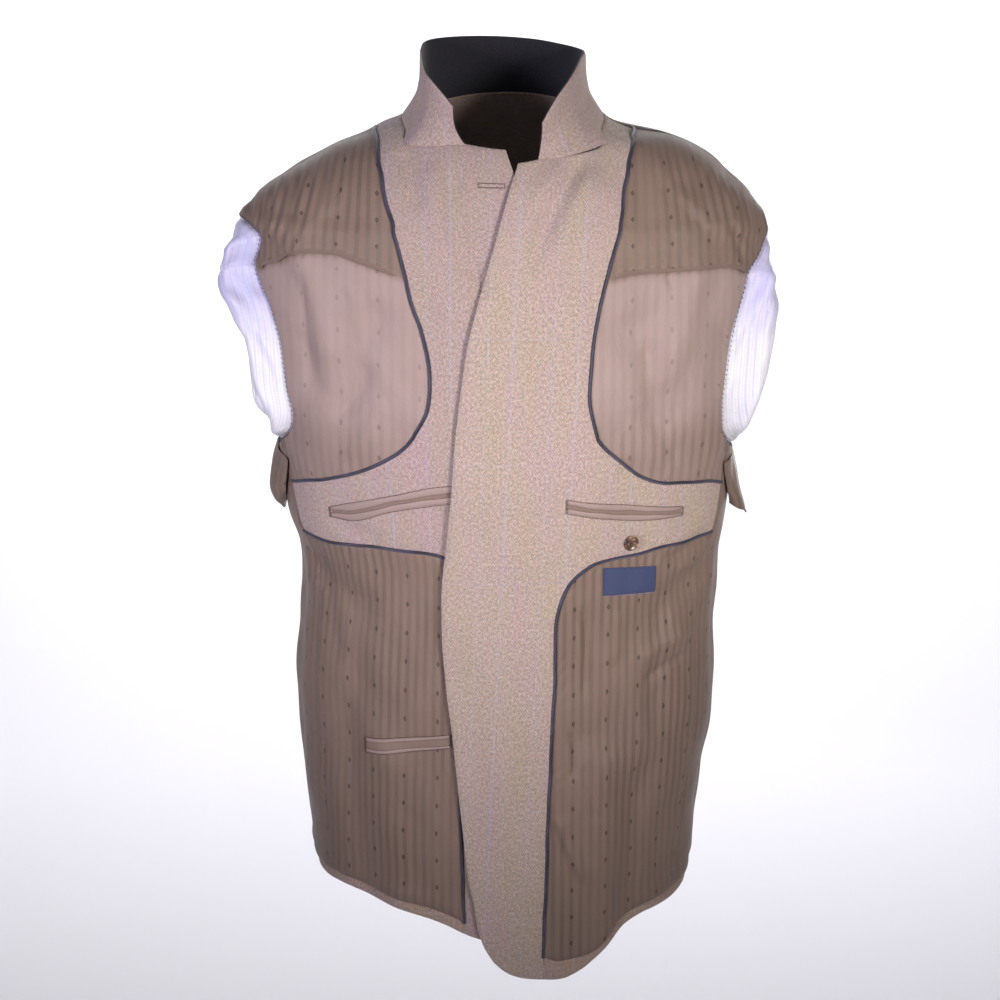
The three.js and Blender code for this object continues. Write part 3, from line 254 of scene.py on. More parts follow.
SLEEVE_BULGE = {
    "left": table(
        "z out",
        (-90, 6), (-95, 10), (-120, 19), (-145, 27), (-178, 22), (-196, 16), (-221, 17), (-248, 16),
        (-273, 11), (-290, 8), (-316, 6),
    ),
    "right": table(
        "z out",
        (-100, 5), (-111, 8), (-133, 14), (-176, 22), (-217, 27), (-248, 25), (-273, 17), (-300, 12),
        (-318, 9),
    ),
}
BULGE_RINGS = table(
    "scale share wave", (1, 0, 0), (0.985, 0.45, 0), (0.95, 0.85, 2), (0.86, 1, 3), (0.72, 0.97, 3)
)
SLEEVE_RINGS = table(
    "out z tilt half_depth half_height wave",
    (234, -196, 10, 31, 50, 2), (221, -200, 20, 32, 43, 1), (205, -210, 40, 36, 32, 0),
    (190, -232, 62, 43, 24, 0), (178, -266, 78, 49, 19, 0), (170, -312, 86, 53, 16, 0),
    (165, -400, 90, 55, 14, 0), (162, -520, 90, 53, 14, 0), (160, -672, 90, 49, 13, 0),
)
SLEEVE_MIDDLE_Y = -5
SLEEVE_WAVES = 4
SLEEVE_INSET = 1.95
SLEEVE_EASE = 7.5
LINED_RINGS = 9

SHIELD = {
    "half_width": 50, "drop": 66, "top": -4, "stand_off": 3.6,
    "left": table("down off", (0, 0), (0.3, 9), (0.6, 13), (0.85, 10), (1, 4)),
    "right": table("down off", (0, 0), (0.3, 4), (0.6, 9), (0.85, 15), (1, 19)),
}
POCKETS = {
    "inner_pocket_left": (
        table("x top bottom", (-162, -348, -358), (-148, -342, -358), (-104, -327, -342),
              (-66, -316, -333), (-38, -312, -329)), 1.2),
    "inner_pocket_right": (
        table("x top bottom", (56, -324, -337), (90, -331, -345), (126, -339, -353), (166, -348, -356)),
        1.2),
    "low_pocket_left": (
        table("x top bottom", (-132, -577, -592), (-90, -570, -584), (-51, -564, -577)), 4),
}
PLEATS = {
    "left": table("x z", (-222, -128), (-217, -122), (-204, -117), (-193, -110), (-183, -107),
                  (-166, -105), (-150, -105), (-137, -108), (-124, -112), (-96, -121)),
    "right": table("x z", (97, -123), (117, -120), (149, -120), (172, -120), (197, -121),
                   (207, -123), (220, -131)),
}
BUTTON = {"x": 116, "z": -374, "radius": 7.5}
# Shares of the button's radius, and heights, from its back to the foot of its dish
BUTTON_SECTION = (
    (0.86, 0), (0.97, 0.5), (1, 1.1), (0.96, 1.9), (0.88, 2.4), (0.78, 2.45), (0.70, 2.1), (0.62, 1.7),
    (0.4, 1.6), (0.1, 1.6),
)
LABEL = {"left": 90, "right": 141, "top": (-395, -402), "bottom": (-423, -429)}
BUTTONHOLE = {"x": (-23, 0), "z": (-48.6, -45.4)}

# Distances of outer faces from the body surface
SHELL_HIDDEN = 0.3
LINING_OUT = 3.0
JET_OUT = 3.05
PIPING_OUT = 3.2
COLLAR_OUT = {"under": 1.2, "top": 2.7}
SLEEVE_OUT = {"wool": -0.3, "lining": 1.3}
LABEL_OUT = 4.0
BUTTON_OUT = 3.8
THICKNESS = {
    "shell": 1.5, "facing": 1.2, "lining": 1.0, "jet": 0.7, "collar": 1.2, "sleeve": 1.4, "shield": 1.2,
    "label": 0.6,
}

# The depth of a seam, and a factor for that of the creases. The lower lining's pattern is a little
# wider than its place.
SEAM_DIP = 0.6
CREASE_DEPTH = 1.3
SKIRT_FULLNESS = 1.18
PIPING = {"width": 3.4, "height": 1.7, "girth": 10}

# A band of the jacquard between two stripes, where the narrow strips are cut
PLAIN_BAND = (6.5, 9.1)

# Fine cells: down each front, and across the pieces
DOWN = {"chest": 120, "belt": 40, "skirt": 140}
ACROSS = {"strap": 36, "panel": 64, "side": 40, "back": 64}
HEM_ROWS = 6


def smooth(t):
    t = np.clip(t, 0, 1)
    return t * t * (3 - 2 * t)


def bell(t):
    return np.exp(-(t**2))


def blend(start, end, share):
    return start * (1 - share) + end * share


def run_lengths(points):
    """Lengths along a line of points from its start."""
    return np.concatenate([[0], np.cumsum(np.linalg.norm(np.diff(points, axis=0), axis=1))])


def raised(point, normal, height):
    return point + normal * np.asarray(height)[..., None]


def profile(columns, across, value):
    """A smooth curve through two columns of a table that never overshoots them."""
    order = np.argsort(columns[across])
    at = columns[across][order]
    values = columns[value][order]
    step = np.diff(at)
    rise = np.diff(values) / step
    slopes = np.concatenate([rise[:1], np.zeros(len(at) - 2), rise[-1:]])
    for i in range(1, len(at) - 1):
        if rise[i - 1] * rise[i] > 0:
            before = 2 * step[i] + step[i - 1]
            after = step[i] + 2 * step[i - 1]
            slopes[i] = (before + after) / (before / rise[i - 1] + after / rise[i])

    def curve(x):
        x = np.asarray(x, float)
        i = np.clip(np.searchsorted(at, x, side="right") - 1, 0, len(step) - 1)
        t = np.clip((x - at[i]) / step[i], 0, 1)
        ahead = 1 - t
        inside = (
            values[i] * (1 + 2 * t) * ahead**2
            + slopes[i] * step[i] * t * ahead**2
            + values[i + 1] * t * t * (3 - 2 * t)
            - slopes[i + 1] * step[i] * t * t * ahead
        )
        low = slopes[0] * np.minimum(x - at[0], 0)
        high = slopes[-1] * np.maximum(x - at[-1], 0)
        return inside + low + high

    return curve


HALF_WIDTH = {side: profile(SECTIONS, "z", side) for side in SIDES}
FRONT_DEPTH = profile(SECTIONS, "z", "front")
BACK_DEPTH = profile(SECTIONS, "z", "back")


def half_width(turn, z):
    return np.where(turn < 0, HALF_WIDTH["left"](z), HALF_WIDTH["right"](z))


def bare_surface(turn, z):
    """The body surface before its folds."""
    angle = np.radians(turn)
    sine = np.sin(angle)
    cosine = np.cos(angle)
    power = 2 / SECTION_POWER
    depth = np.where(cosine > 0, FRONT_DEPTH(z), BACK_DEPTH(z))
    x = half_width(turn, z) * np.sign(sine) * np.abs(sine) ** power
    y = -depth * np.sign(cosine) * np.abs(cosine) ** power
    return np.stack([x, y, z + 0 * x], -1)


def front_turn(x, z):
    """The turn of a place on the front, given by x and z of the front view."""
    share = np.minimum(1, np.abs(x) / half_width(x, z))
    return np.sign(x) * np.degrees(np.arcsin(share ** (SECTION_POWER / 2)))


def along_line(px, pz, x, z, end_x, end_z, bow=0.0):
    """Distance from places to a bowed line, and the share of the line passed."""
    run = np.array([end_x - x, end_z - z])
    length = np.hypot(*run)
    across = np.array([-run[1], run[0]]) / length
    share = np.clip(((px - x) * run[0] + (pz - z) * run[1]) / length**2, 0, 1)
    bend = bow * 4 * share * (1 - share)
    dx = px - (x + run[0] * share + across[0] * bend)
    dz = pz - (z + run[1] * share + across[1] * bend)
    return np.hypot(dx, dz), share


def fold_height(turn, z):
    height = np.zeros(np.broadcast(turn, z).shape)
    for start, top, end, foot, width, rise in zip(*FOLDS.values()):
        distance, _ = along_line(turn * TURN_LENGTH, z, start * TURN_LENGTH, top, end * TURN_LENGTH, foot)
        height += rise * bell(distance / width)
    return height


def normals_at(turn, z):
    along = bare_surface(turn + 0.5, z) - bare_surface(turn - 0.5, z)
    up = bare_surface(turn, z + 1) - bare_surface(turn, z - 1)
    normal = np.cross(along, up)
    return normal / np.linalg.norm(normal, axis=-1, keepdims=True)


def lap_height(x, z):
    """The right front lies over the left one."""
    down = smooth((LAP["start"] - z) / (LAP["start"] - LAP["full"]))
    return LAP["height"] * down * (1 - smooth((x - LAP["flat_to"]) / (LAP["fade_to"] - LAP["flat_to"])))


def undulation(points, seed, length, height):
    """A soft unevenness of the cloth: waves of about `length` in several directions."""
    chance = np.random.default_rng(seed)
    total = np.zeros(points.shape[:-1])
    for _ in range(7):
        way = chance.normal(size=3)
        way *= 2 * math.pi / (length * chance.uniform(0.7, 1.5)) / np.linalg.norm(way)
        total += np.sin(points @ way + chance.uniform(0, 2 * math.pi))
    return height * total / 2.6


def unevenness(point):
    """The soft unevenness that neighbouring pieces share, so that they meet at their seams."""
    return undulation(point, 7, 58, 0.85)


def surface(places, lapped=False):
    """Points and outward directions of places on the folded body."""
    turn = places[..., 0]
    z = places[..., 1]
    point = bare_surface(turn, z)
    normal = normals_at(turn, z)
    height = fold_height(turn, z)
    if lapped:
        height = height + lap_height(point[..., 0], z)
    return raised(point, normal, height), normal


def crease_lines(point, lines):
    """Heights of soft troughs and ridges along the lines of a table, in the front view's plane."""
    x = point[..., 0]
    z = point[..., 2]
    height = np.zeros(x.shape)
    for *line, width, deep in zip(*lines.values()):
        distance, share = along_line(x, z, *line)
        fade = smooth(share * 5 + 0.1) * smooth((1 - share) * 4)
        height += deep * fade * bell(distance / width)
    return height


def creases(point, normal):
    """The creases at points of the cloth, as a height."""
    facing = np.where(normal[..., 1] < 0, 1, -1)
    height = np.zeros(facing.shape)
    for side in (1, -1):
        rows = CREASES["side"] == side
        mine = {name: column[rows] for name, column in CREASES.items() if name != "side"}
        height += (facing == side) * crease_lines(point, mine)
    return CREASE_DEPTH * (height + (facing == 1) * crease_lines(point, SHOULDER_RIPPLES))


def worn(places, lapped=False, extra=0.0):
    """Points and outward directions of places on the creased cloth, raised by `extra`."""
    point, normal = surface(places, lapped)
    return raised(point, normal, creases(point, normal) + unevenness(point) + extra), normal


def catmull(points, per):
    """Dense points on a centripetal curve through the given ones."""
    p = np.vstack([2 * points[0] - points[1], points, 2 * points[-1] - points[-2]])
    found = []
    for i in range(1, len(p) - 2):
        before, start, end, after = p[i - 1 : i + 3]
        pairs = ((before, start), (start, end), (end, after))
        first, middle, last = (max(np.linalg.norm(b - a) ** 0.5, 1e-4) for a, b in pairs)
        leave = (start - before) / first - (end - before) / (first + middle) + (end - start) / middle
        reach = (end - start) / middle - (after - start) / (middle + last) + (after - end) / last
        t = np.linspace(0, 1, per, endpoint=False)[:, None]
        found.append(
            (2 * t**3 - 3 * t**2 + 1) * start
            + (t**3 - 2 * t**2 + t) * leave * middle
            + (3 * t**2 - 2 * t**3) * end
            + (t**3 - t**2) * reach * middle
        )
    return np.vstack([*found, p[-2:-1]])


def seam_curve(corners, per=24):
    """Dense places on a smooth curve through the corners of a seam."""
    scale = np.array([TURN_LENGTH, 1])
    return catmull(np.array(corners) * scale, per) / scale


def even(line, count, measured=None):
    """The same line in `count` equal stretches of its own length, or of the length of `measured`."""
    lengths = run_lengths(line if measured is None else measured)
    at = np.linspace(0, lengths[-1], count + 1)
    return np.stack([np.interp(at, lengths, column) for column in line.T], -1)


def spread(seam, count, sign):
    """Places along a seam, in equal stretches of its real length."""
    places = seam_curve(seam)
    return even(places, count, bare_surface(places[:, 0], places[:, 1])) * [sign, 1]


def between(start, end, count, turn_of):
    """Places down a line from one height to another, whose turn follows from the height."""
    z = np.linspace(start, end, count + 1)
    return np.stack([turn_of(z) + 0 * z, z], -1)


def steps_between(start, end, count):
    """Rows of places from one place or line to another."""
    share = np.linspace(0, 1, count + 1).reshape(-1, *[1] * start.ndim)
    return blend(start, end, share)


def fill(top, bottom, left, right, fade=1):
    """Fills four edges of places. With a larger fade the top and bottom shapes die out sooner."""
    across = np.linspace(0, 1, len(top))[None, :, None]
    down = np.linspace(0, 1, len(left))[:, None, None]
    from_top = top[None] - blend(top[0], top[-1], across)
    from_bottom = bottom[None] - blend(bottom[0], bottom[-1], across)
    sides = blend(left[:, None], right[:, None], across)
    return sides + from_top * (1 - down) ** fade + from_bottom * down**fade


def plan_side(side):
    """The places of every panel on one side."""
    sign = SIDES[side]
    seams = SEAMS[side]
    edge = profile(FRONT_EDGES[side], "z", "out")
    side_turn = profile(SIDE_SEAM, "z", "turn")
    back_turn = profile(BACK_SEAM, "z", "turn")
    hems = {name: profile(HEMS[side], "turn", name) for name in ("shell", "lining")}
    top, bend, belt, lining, hem = EDGE_HEIGHTS[side]

    def edge_places(start, end, count):
        return between(start, end, count, lambda z: front_turn(sign * edge(z), z))

    def seam_places(start, end, count, turn_of):
        """Places down a seam, from one place to another."""
        line = between(start[1], end[1], count, lambda z: sign * turn_of(z))
        line[0] = start
        line[-1] = end
        return line

    def level(start, end, count, turn=90):
        return between(start, end, count, lambda z: sign * turn)

    def hem_line(name, start, end, count):
        turn = np.linspace(start, end, count + 1)
        return np.stack([sign * turn, hems[name](turn)], -1)

    unit = DOWN["chest"] // 10
    neck = seam_curve(seams["neck"], unit)[::-1] * [sign, 1]
    corner = edge_places(top, bend, 5 * unit)
    notch = steps_between(neck[-1], corner[0], unit)
    below = edge_places(bend, belt, DOWN["belt"])
    skirt_edge = edge_places(belt, lining, DOWN["skirt"])
    hem_edge = edge_places(lining, hem, HEM_ROWS)
    edge_line = np.vstack([neck[:-1], notch[:-1], corner, below[1:], skirt_edge[1:], hem_edge[1:]])

    counts = {
        "chest_down": DOWN["chest"], "chest_out": ACROSS["panel"], "lower_out": ACROSS["panel"],
        "lower_down": DOWN["skirt"], "armhole_front": int(DOWN["chest"] * 0.8),
        "underarm": ACROSS["side"], "armhole_back": int(DOWN["chest"] * 0.7),
    }
    chest_down, chest_out, lower_out, lower_down, armhole_front, underarm, armhole_back = (
        spread(seams[name], count, sign) for name, count in counts.items()
    )

    inner = abs(lower_down[-1][0])
    side_hem = float(side_turn(-800))
    back_hem = float(back_turn(-800))
    spans = {
        "skirt": (inner, side_hem, ACROSS["panel"]),
        "side": (side_hem, back_hem, ACROSS["side"]),
        "back": (back_hem, 180, ACROSS["back"]),
    }
    lining_hems = {panel: hem_line("lining", *span) for panel, span in spans.items()}
    shell_hems = {panel: hem_line("shell", *span) for panel, span in spans.items()}

    rest = DOWN["chest"] - counts["armhole_front"]
    beside_chest = seam_places(armhole_front[-1], chest_out[-1], rest, side_turn)
    beside_belt = seam_places(chest_out[-1], lower_out[-1], DOWN["belt"], side_turn)
    beside_skirt = seam_places(lower_out[-1], lining_hems["skirt"][-1], DOWN["skirt"], side_turn)
    down_back = rest + DOWN["belt"] + DOWN["skirt"]
    back_seam = seam_places(armhole_back[-1], lining_hems["side"][-1], down_back, back_turn)

    bend_to_bend = steps_between(chest_out[0], lower_out[0], DOWN["belt"])
    last_stretch = steps_between(lower_down[-1], shell_hems["skirt"][0], HEM_ROWS)
    strap_outer = np.vstack([chest_down, bend_to_bend[1:], lower_down[1:], last_stretch[1:]])
    strap_top = level(neck[0][1], chest_down[0][1], ACROSS["strap"])
    strap_hem = hem_line("shell", sign * hem_edge[-1][0], inner, ACROSS["strap"])
    strap_hem[0] = hem_edge[-1]

    shoulder = level(chest_down[0][1], armhole_front[0][1], ACROSS["panel"])
    back_neck = seam_curve(BACK_NECK, 12) * [sign, 1]
    on_shoulder = ACROSS["back"] - (len(back_neck) - 1)
    back_top = np.vstack([level(armhole_back[0][1], 0, on_shoulder)[:-1], back_neck])
    back_outer = np.vstack([armhole_back, back_seam[1:]])
    back_foot = lining_hems["back"][-1][1]
    centre_back = level(back_neck[-1][1], back_foot, len(back_outer) - 1, 180)

    beside = np.vstack([beside_chest, beside_belt[1:], beside_skirt[1:]])
    return {
        "sign": sign,
        "lapped": side == "right",
        "strap": fill(strap_top, strap_hem, edge_line, strap_outer),
        "chest": fill(shoulder, chest_out, chest_down, np.vstack([armhole_front, beside_chest[1:]])),
        "belt": fill(chest_out, lower_out, bend_to_bend, beside_belt),
        "skirt": fill(lower_out, lining_hems["skirt"], lower_down, beside_skirt),
        "side": fill(underarm, lining_hems["side"], beside, back_seam),
        "back": fill(back_top, lining_hems["back"], back_outer, centre_back, 7),
        "armhole": np.vstack([armhole_front, underarm[1:], armhole_back[1:-1][::-1]]),
        "seams": {
            "chest": np.vstack([chest_down, chest_out[1:]]),
            "lower": np.vstack([lower_out[::-1], lower_down[1:]]),
        },
        **{
            f"{panel}_hem": steps_between(lining_hems[panel], shell_hems[panel], HEM_ROWS)
            for panel in spans
        },
    }


# Places on the flat cloth

# A table of girths: heights up from the hem in equal steps, and turns in half degrees
GIRTH_FOOT = -830
GIRTH_STEP = 10
GIRTH_ROWS = 86
GIRTH_TURNS = np.linspace(0, 180, 361)
FRONT_TURNS = 181
CHEST_LEVEL = -150


def level_points(z):
    return bare_surface(GIRTH_TURNS, np.full(GIRTH_TURNS.shape, float(z)))


GIRTHS = np.stack([run_lengths(level_points(GIRTH_FOOT + GIRTH_STEP * row)) for row in range(GIRTH_ROWS)])
CHEST_X = np.abs(level_points(CHEST_LEVEL)[:FRONT_TURNS, 0])
CHEST_GIRTH = run_lengths(level_points(CHEST_LEVEL))[:FRONT_TURNS]

# The stripes hang straight down the front as far as the inner pockets, and lean outwards at the
# shoulders, where the cloth is stretched. Further down and round the side they follow the girth.
LEAN = {"share": 0.3, "from_x": 118, "foot": -95, "rise": 65, "most": 1.3, "power": 1.5}
HANGING = {"foot": -350, "rise": 60, "turn": 100, "fade": 20}
SHOULDER_STRETCH = {"share": 0.35, "foot": -130}


def cloth_uv(places, from_back=False):
    """Where a place lies on the flat cloth, in metres, from the centre front or the centre back."""
    turn = np.abs(places[..., 0])
    z = places[..., 1]
    row = np.clip((z - GIRTH_FOOT) / GIRTH_STEP, 0, GIRTH_ROWS - 1.001)
    column = np.clip(turn * 2, 0, len(GIRTH_TURNS) - 1.001)
    r = row.astype(int)
    c = column.astype(int)
    upper_row = blend(GIRTHS[r + 1, c], GIRTHS[r + 1, c + 1], column - c)
    girth = blend(blend(GIRTHS[r, c], GIRTHS[r, c + 1], column - c), upper_row, row - r)
    if from_back:
        whole = blend(GIRTHS[r, -1], GIRTHS[r + 1, -1], row - r)
        return np.stack([np.sign(places[..., 0]) * (whole - girth), z], -1) * MM
    x = np.abs(bare_surface(places[..., 0], z)[..., 0])
    rise = np.clip((z - LEAN["foot"]) / LEAN["rise"], 0, LEAN["most"]) ** LEAN["power"]
    lean = LEAN["share"] * np.maximum(x - LEAN["from_x"], 0) * rise
    hanging = np.interp(x, CHEST_X, CHEST_GIRTH) + lean
    upper = smooth((z - HANGING["foot"]) / HANGING["rise"])
    upper *= smooth((HANGING["turn"] - turn) / HANGING["fade"])
    u = np.sign(places[..., 0]) * blend(girth, hanging, upper)
    v = z + SHOULDER_STRETCH["share"] * np.maximum(z - SHOULDER_STRETCH["foot"], 0)
    return np.stack([u, v], -1) * MM


# Meshes


# Points closer than this, in metres, are one. Edges that turn by more degrees than this are sharp.
WELD = 2e-5
SHARP_ANGLE = 50


def add_object(name, data):
    made = bpy.data.objects.new(name, data)
    bpy.context.scene.collection.objects.link(made)
    return made


def make_mesh(name, grids, thickness, flip=False):
    """A cloth piece from grids of outer points, each with its flat places. It is given its thickness."""
    vertices = []
    quads = []
    flats = []
    painted_lights = []
    start = 0
    for points, uv, *tone in grids:
        rows, columns = points.shape[:2]
        index = np.arange(rows * columns).reshape(rows, columns) + start
        cells = np.stack([index[1:, :-1], index[1:, 1:], index[:-1, 1:], index[:-1, :-1]], -1).reshape(-1, 4)
        quads.append(cells[:, ::-1] if flip else cells)
        vertices.append(points.reshape(-1, 3) * MM)
        flats.append(uv.reshape(-1, 2))
        painted_lights.append(tone[0].ravel() if tone else np.zeros(rows * columns))
        start += rows * columns
    quads = np.vstack(quads)
    flats = np.vstack(flats)
    mesh = bpy.data.meshes.new(name)
    mesh.from_pydata(np.vstack(vertices).tolist(), [], quads.tolist())
    layer = mesh.uv_layers.new(name="cloth")
    layer.data.foreach_set("uv", flats[quads.ravel()].astype(np.float32).ravel())
    # This attribute holds painted light: painted sheen on the lining pieces and painted shade on the sleeve
    # linings, which their materials mix into the colour.
    painted_light_layer = mesh.attributes.new("tone", "FLOAT", "POINT")
    painted_light_layer.data.foreach_set("value", np.concatenate(painted_lights).astype(np.float32))
    work = bmesh.new()
    work.from_mesh(mesh)
    bmesh.ops.remove_doubles(work, verts=work.verts, dist=WELD)
    work.to_mesh(mesh)
    work.free()
    piece = add_object(name, mesh)
    if thickness:
        thicken = piece.modifiers.new("thickness", "SOLIDIFY")
        thicken.thickness = thickness * MM
        thicken.offset = -1
        apply_modifiers(piece)
    piece.data.shade_smooth()
    piece.data.set_sharp_from_angle(angle=math.radians(SHARP_ANGLE))
    return piece


def apply_modifiers(piece):
    graph = bpy.context.evaluated_depsgraph_get()
    finished = bpy.data.meshes.new_from_object(piece.evaluated_get(graph))
    piece.modifiers.clear()
    piece.data = finished


def edge_distances(points):
    """Distance of each point of a grid from its left, right, top and bottom edges, along the grid."""
    across = np.linalg.norm(np.diff(points, axis=1), axis=-1)
    down = np.linalg.norm(np.diff(points, axis=0), axis=-1)
    left = np.pad(np.cumsum(across, axis=1), ((0, 0), (1, 0)))
    top = np.pad(np.cumsum(down, axis=0), ((1, 0), (0, 0)))
    return {"left": left, "right": left[:, -1:] - left, "top": top, "bottom": top[-1:] - top}


def puckers(points, seams, seed):
    """Small gathers that run into a panel from its seams.

    `seams` gives their depth, reach and spacing at each edge, and may give their share down the edge.
    """
    distances = edge_distances(points)
    chance = np.random.default_rng(seed)
    height = np.zeros(points.shape[:2])
    dip = np.zeros(points.shape[:2])
    for edge, (deep, reach, spacing, *share) in seams.items():
        away = distances[edge]
        along = distances["top" if edge in ("left", "right") else "left"]
        wave = np.zeros_like(height)
        for _ in range(3):
            pitch = spacing * chance.uniform(0.75, 1.4)
            drift = chance.uniform(-0.35, 0.35)
            wave += np.sin(2 * math.pi * (along + drift * away) / pitch + chance.uniform(0, 6.3))
        swell = 0.55 + 0.45 * np.sin(2 * math.pi * along / (spacing * 6.3) + chance.uniform(0, 6.3))
        share = share[0] if share else 1.0
        from_edge = np.exp(-((away / reach) ** 1.5)) - bell(away / 3)
        height += share * deep * wave / 1.5 * swell * from_edge
        dip = np.maximum(dip, share * bell(away / 2.2))
    return height - SEAM_DIP * dip


def panel(plan, name, out, seams, seed, extra=None):
    """Outer points and flat places of one panel of the body."""
    places = plan[name]
    lapped = plan["lapped"] and name in ("strap", "chest", "belt", "skirt")
    point, normal = surface(places, lapped)
    height = out + creases(point, normal) + puckers(point, seams, seed) + unevenness(point)
    if extra is not None:
        height = height + extra(point)
    return raised(point, normal, height), cloth_uv(places, name == "back")


def dress(piece, node, material):
    """Gives a piece its material and puts it in the place of its solid."""
    piece.data.materials.clear()
    piece.data.materials.append(material)
    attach(piece, "root")
    if node:
        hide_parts(node)


# Materials


class Finish:
    """A procedural material. Its methods add nodes and give back their outputs."""

    def __init__(self, name, roughness=0.8, **constants):
        self.material = bpy.data.materials.new(name)
        self.material.use_nodes = True
        self.tree = self.material.node_tree
        self.shader = self.tree.nodes["Principled BSDF"]
        self.shader.inputs["Roughness"].default_value = roughness
        for socket, value in constants.items():
            self.shader.inputs[socket.replace("_", " ")].default_value = value

    def node(self, kind, **settings):
        made = self.tree.nodes.new(kind)
        for name, value in settings.items():
            setattr(made, name, value)
        return made

    def put(self, value, socket):
        """Links an output to a socket, or sets the socket to a constant."""
        if isinstance(value, bpy.types.NodeSocket):
            self.tree.links.new(value, socket)
        else:
            socket.default_value = value

    def math(self, operation, first, second=0.0, third=0.0):
        made = self.node("ShaderNodeMath", operation=operation)
        for value, socket in zip((first, second, third), made.inputs):
            self.put(value, socket)
        return made.outputs[0]

    def flat(self):
        """Millimetres along and across the flat cloth."""
        uv = self.node("ShaderNodeUVMap", uv_map="cloth")
        scaled = self.node("ShaderNodeVectorMath", operation="SCALE")
        self.put(uv.outputs[0], scaled.inputs[0])
        scaled.inputs["Scale"].default_value = 1000
        split = self.node("ShaderNodeSeparateXYZ")
        self.put(scaled.outputs[0], split.inputs[0])
        return scaled.outputs[0], split.outputs[0], split.outputs[1]

    def place(self):
        return self.node("ShaderNodeTexCoord").outputs["Object"]

    def noise(self, vector, scale, detail=3.0, stretch=None, roughness=0.55):
        if stretch:
            mapped = self.node("ShaderNodeMapping")
            mapped.inputs["Scale"].default_value = stretch
            self.put(vector, mapped.inputs["Vector"])
            vector = mapped.outputs[0]
        made = self.node("ShaderNodeTexNoise")
        self.put(vector, made.inputs["Vector"])
        made.inputs["Scale"].default_value = scale
        made.inputs["Detail"].default_value = detail
        made.inputs["Roughness"].default_value = roughness
        return made.outputs[0]

    def ramp(self, value, *stops):
        """A colour ramp from (position, colour) stops."""
        made = self.node("ShaderNodeValToRGB")
        stretch = made.color_ramp
        while len(stretch.elements) < len(stops):
            stretch.elements.new(0.5)
        for element, (position, color) in zip(stretch.elements, stops):
            element.position = position
            element.color = (*color, 1)
        self.put(value, made.inputs[0])
        return made.outputs[0]

    def times(self, first, second):
        return self.math("MULTIPLY", first, second)

    def fit(self, value, factor, add):
        return self.math("MULTIPLY_ADD", value, factor, add)

    def wave(self, value, length):
        return self.math("SINE", self.times(value, 2 * math.pi / length))

    # Painted light per point, from the mesh attribute: painted sheen on the linings and painted shade on the
    # sleeve linings.
    def tone(self):
        return self.node("ShaderNodeAttribute", attribute_name="tone").outputs["Fac"]

    def mix(self, share, first, second):
        made = self.node("ShaderNodeMix", data_type="RGBA")
        self.put(share, made.inputs["Factor"])
        for value, socket in ((first, made.inputs[6]), (second, made.inputs[7])):
            self.put((*value, 1) if isinstance(value, tuple) else value, socket)
        return made.outputs[2]

    def from_lines(self, value, pitch, offset=0.0):
        """Distance from the nearest of the lines that repeat every `pitch`."""
        shifted = self.math("ADD", value, pitch / 2 - offset)
        wrapped = self.math("SUBTRACT", self.math("WRAP", shifted, pitch, 0.0), pitch / 2)
        return self.math("ABSOLUTE", wrapped)

    def line(self, value, pitch, offset, width, soft=0.3):
        """1 on thin lines that repeat every `pitch`, and 0 between them."""
        edge = self.node("ShaderNodeMapRange", interpolation_type="SMOOTHSTEP")
        self.put(self.from_lines(value, pitch, offset), edge.inputs["Value"])
        edge.inputs["From Min"].default_value = width / 2 - soft
        edge.inputs["From Max"].default_value = width / 2 + soft
        edge.inputs["To Min"].default_value = 1
        edge.inputs["To Max"].default_value = 0
        return edge.outputs[0]

    def color(self, value):
        self.put(value, self.shader.inputs["Base Color"])

    def rough(self, value):
        self.put(value, self.shader.inputs["Roughness"])

    def bump(self, height, distance, strength):
        made = self.node("ShaderNodeBump")
        made.inputs["Strength"].default_value = strength
        made.inputs["Distance"].default_value = distance * MM
        self.put(height, made.inputs["Height"])
        self.put(made.outputs[0], self.shader.inputs["Normal"])


# The diamonds of the lining repeat at these distances across and down
DIAMOND_PITCH = (38, 29)


def scaled(color, *factors):
    """A colour times one factor, or times one for each channel."""
    factors = factors * 3 if len(factors) == 1 else factors
    return tuple(min(1.0, c * k) for c, k in zip(color, factors))


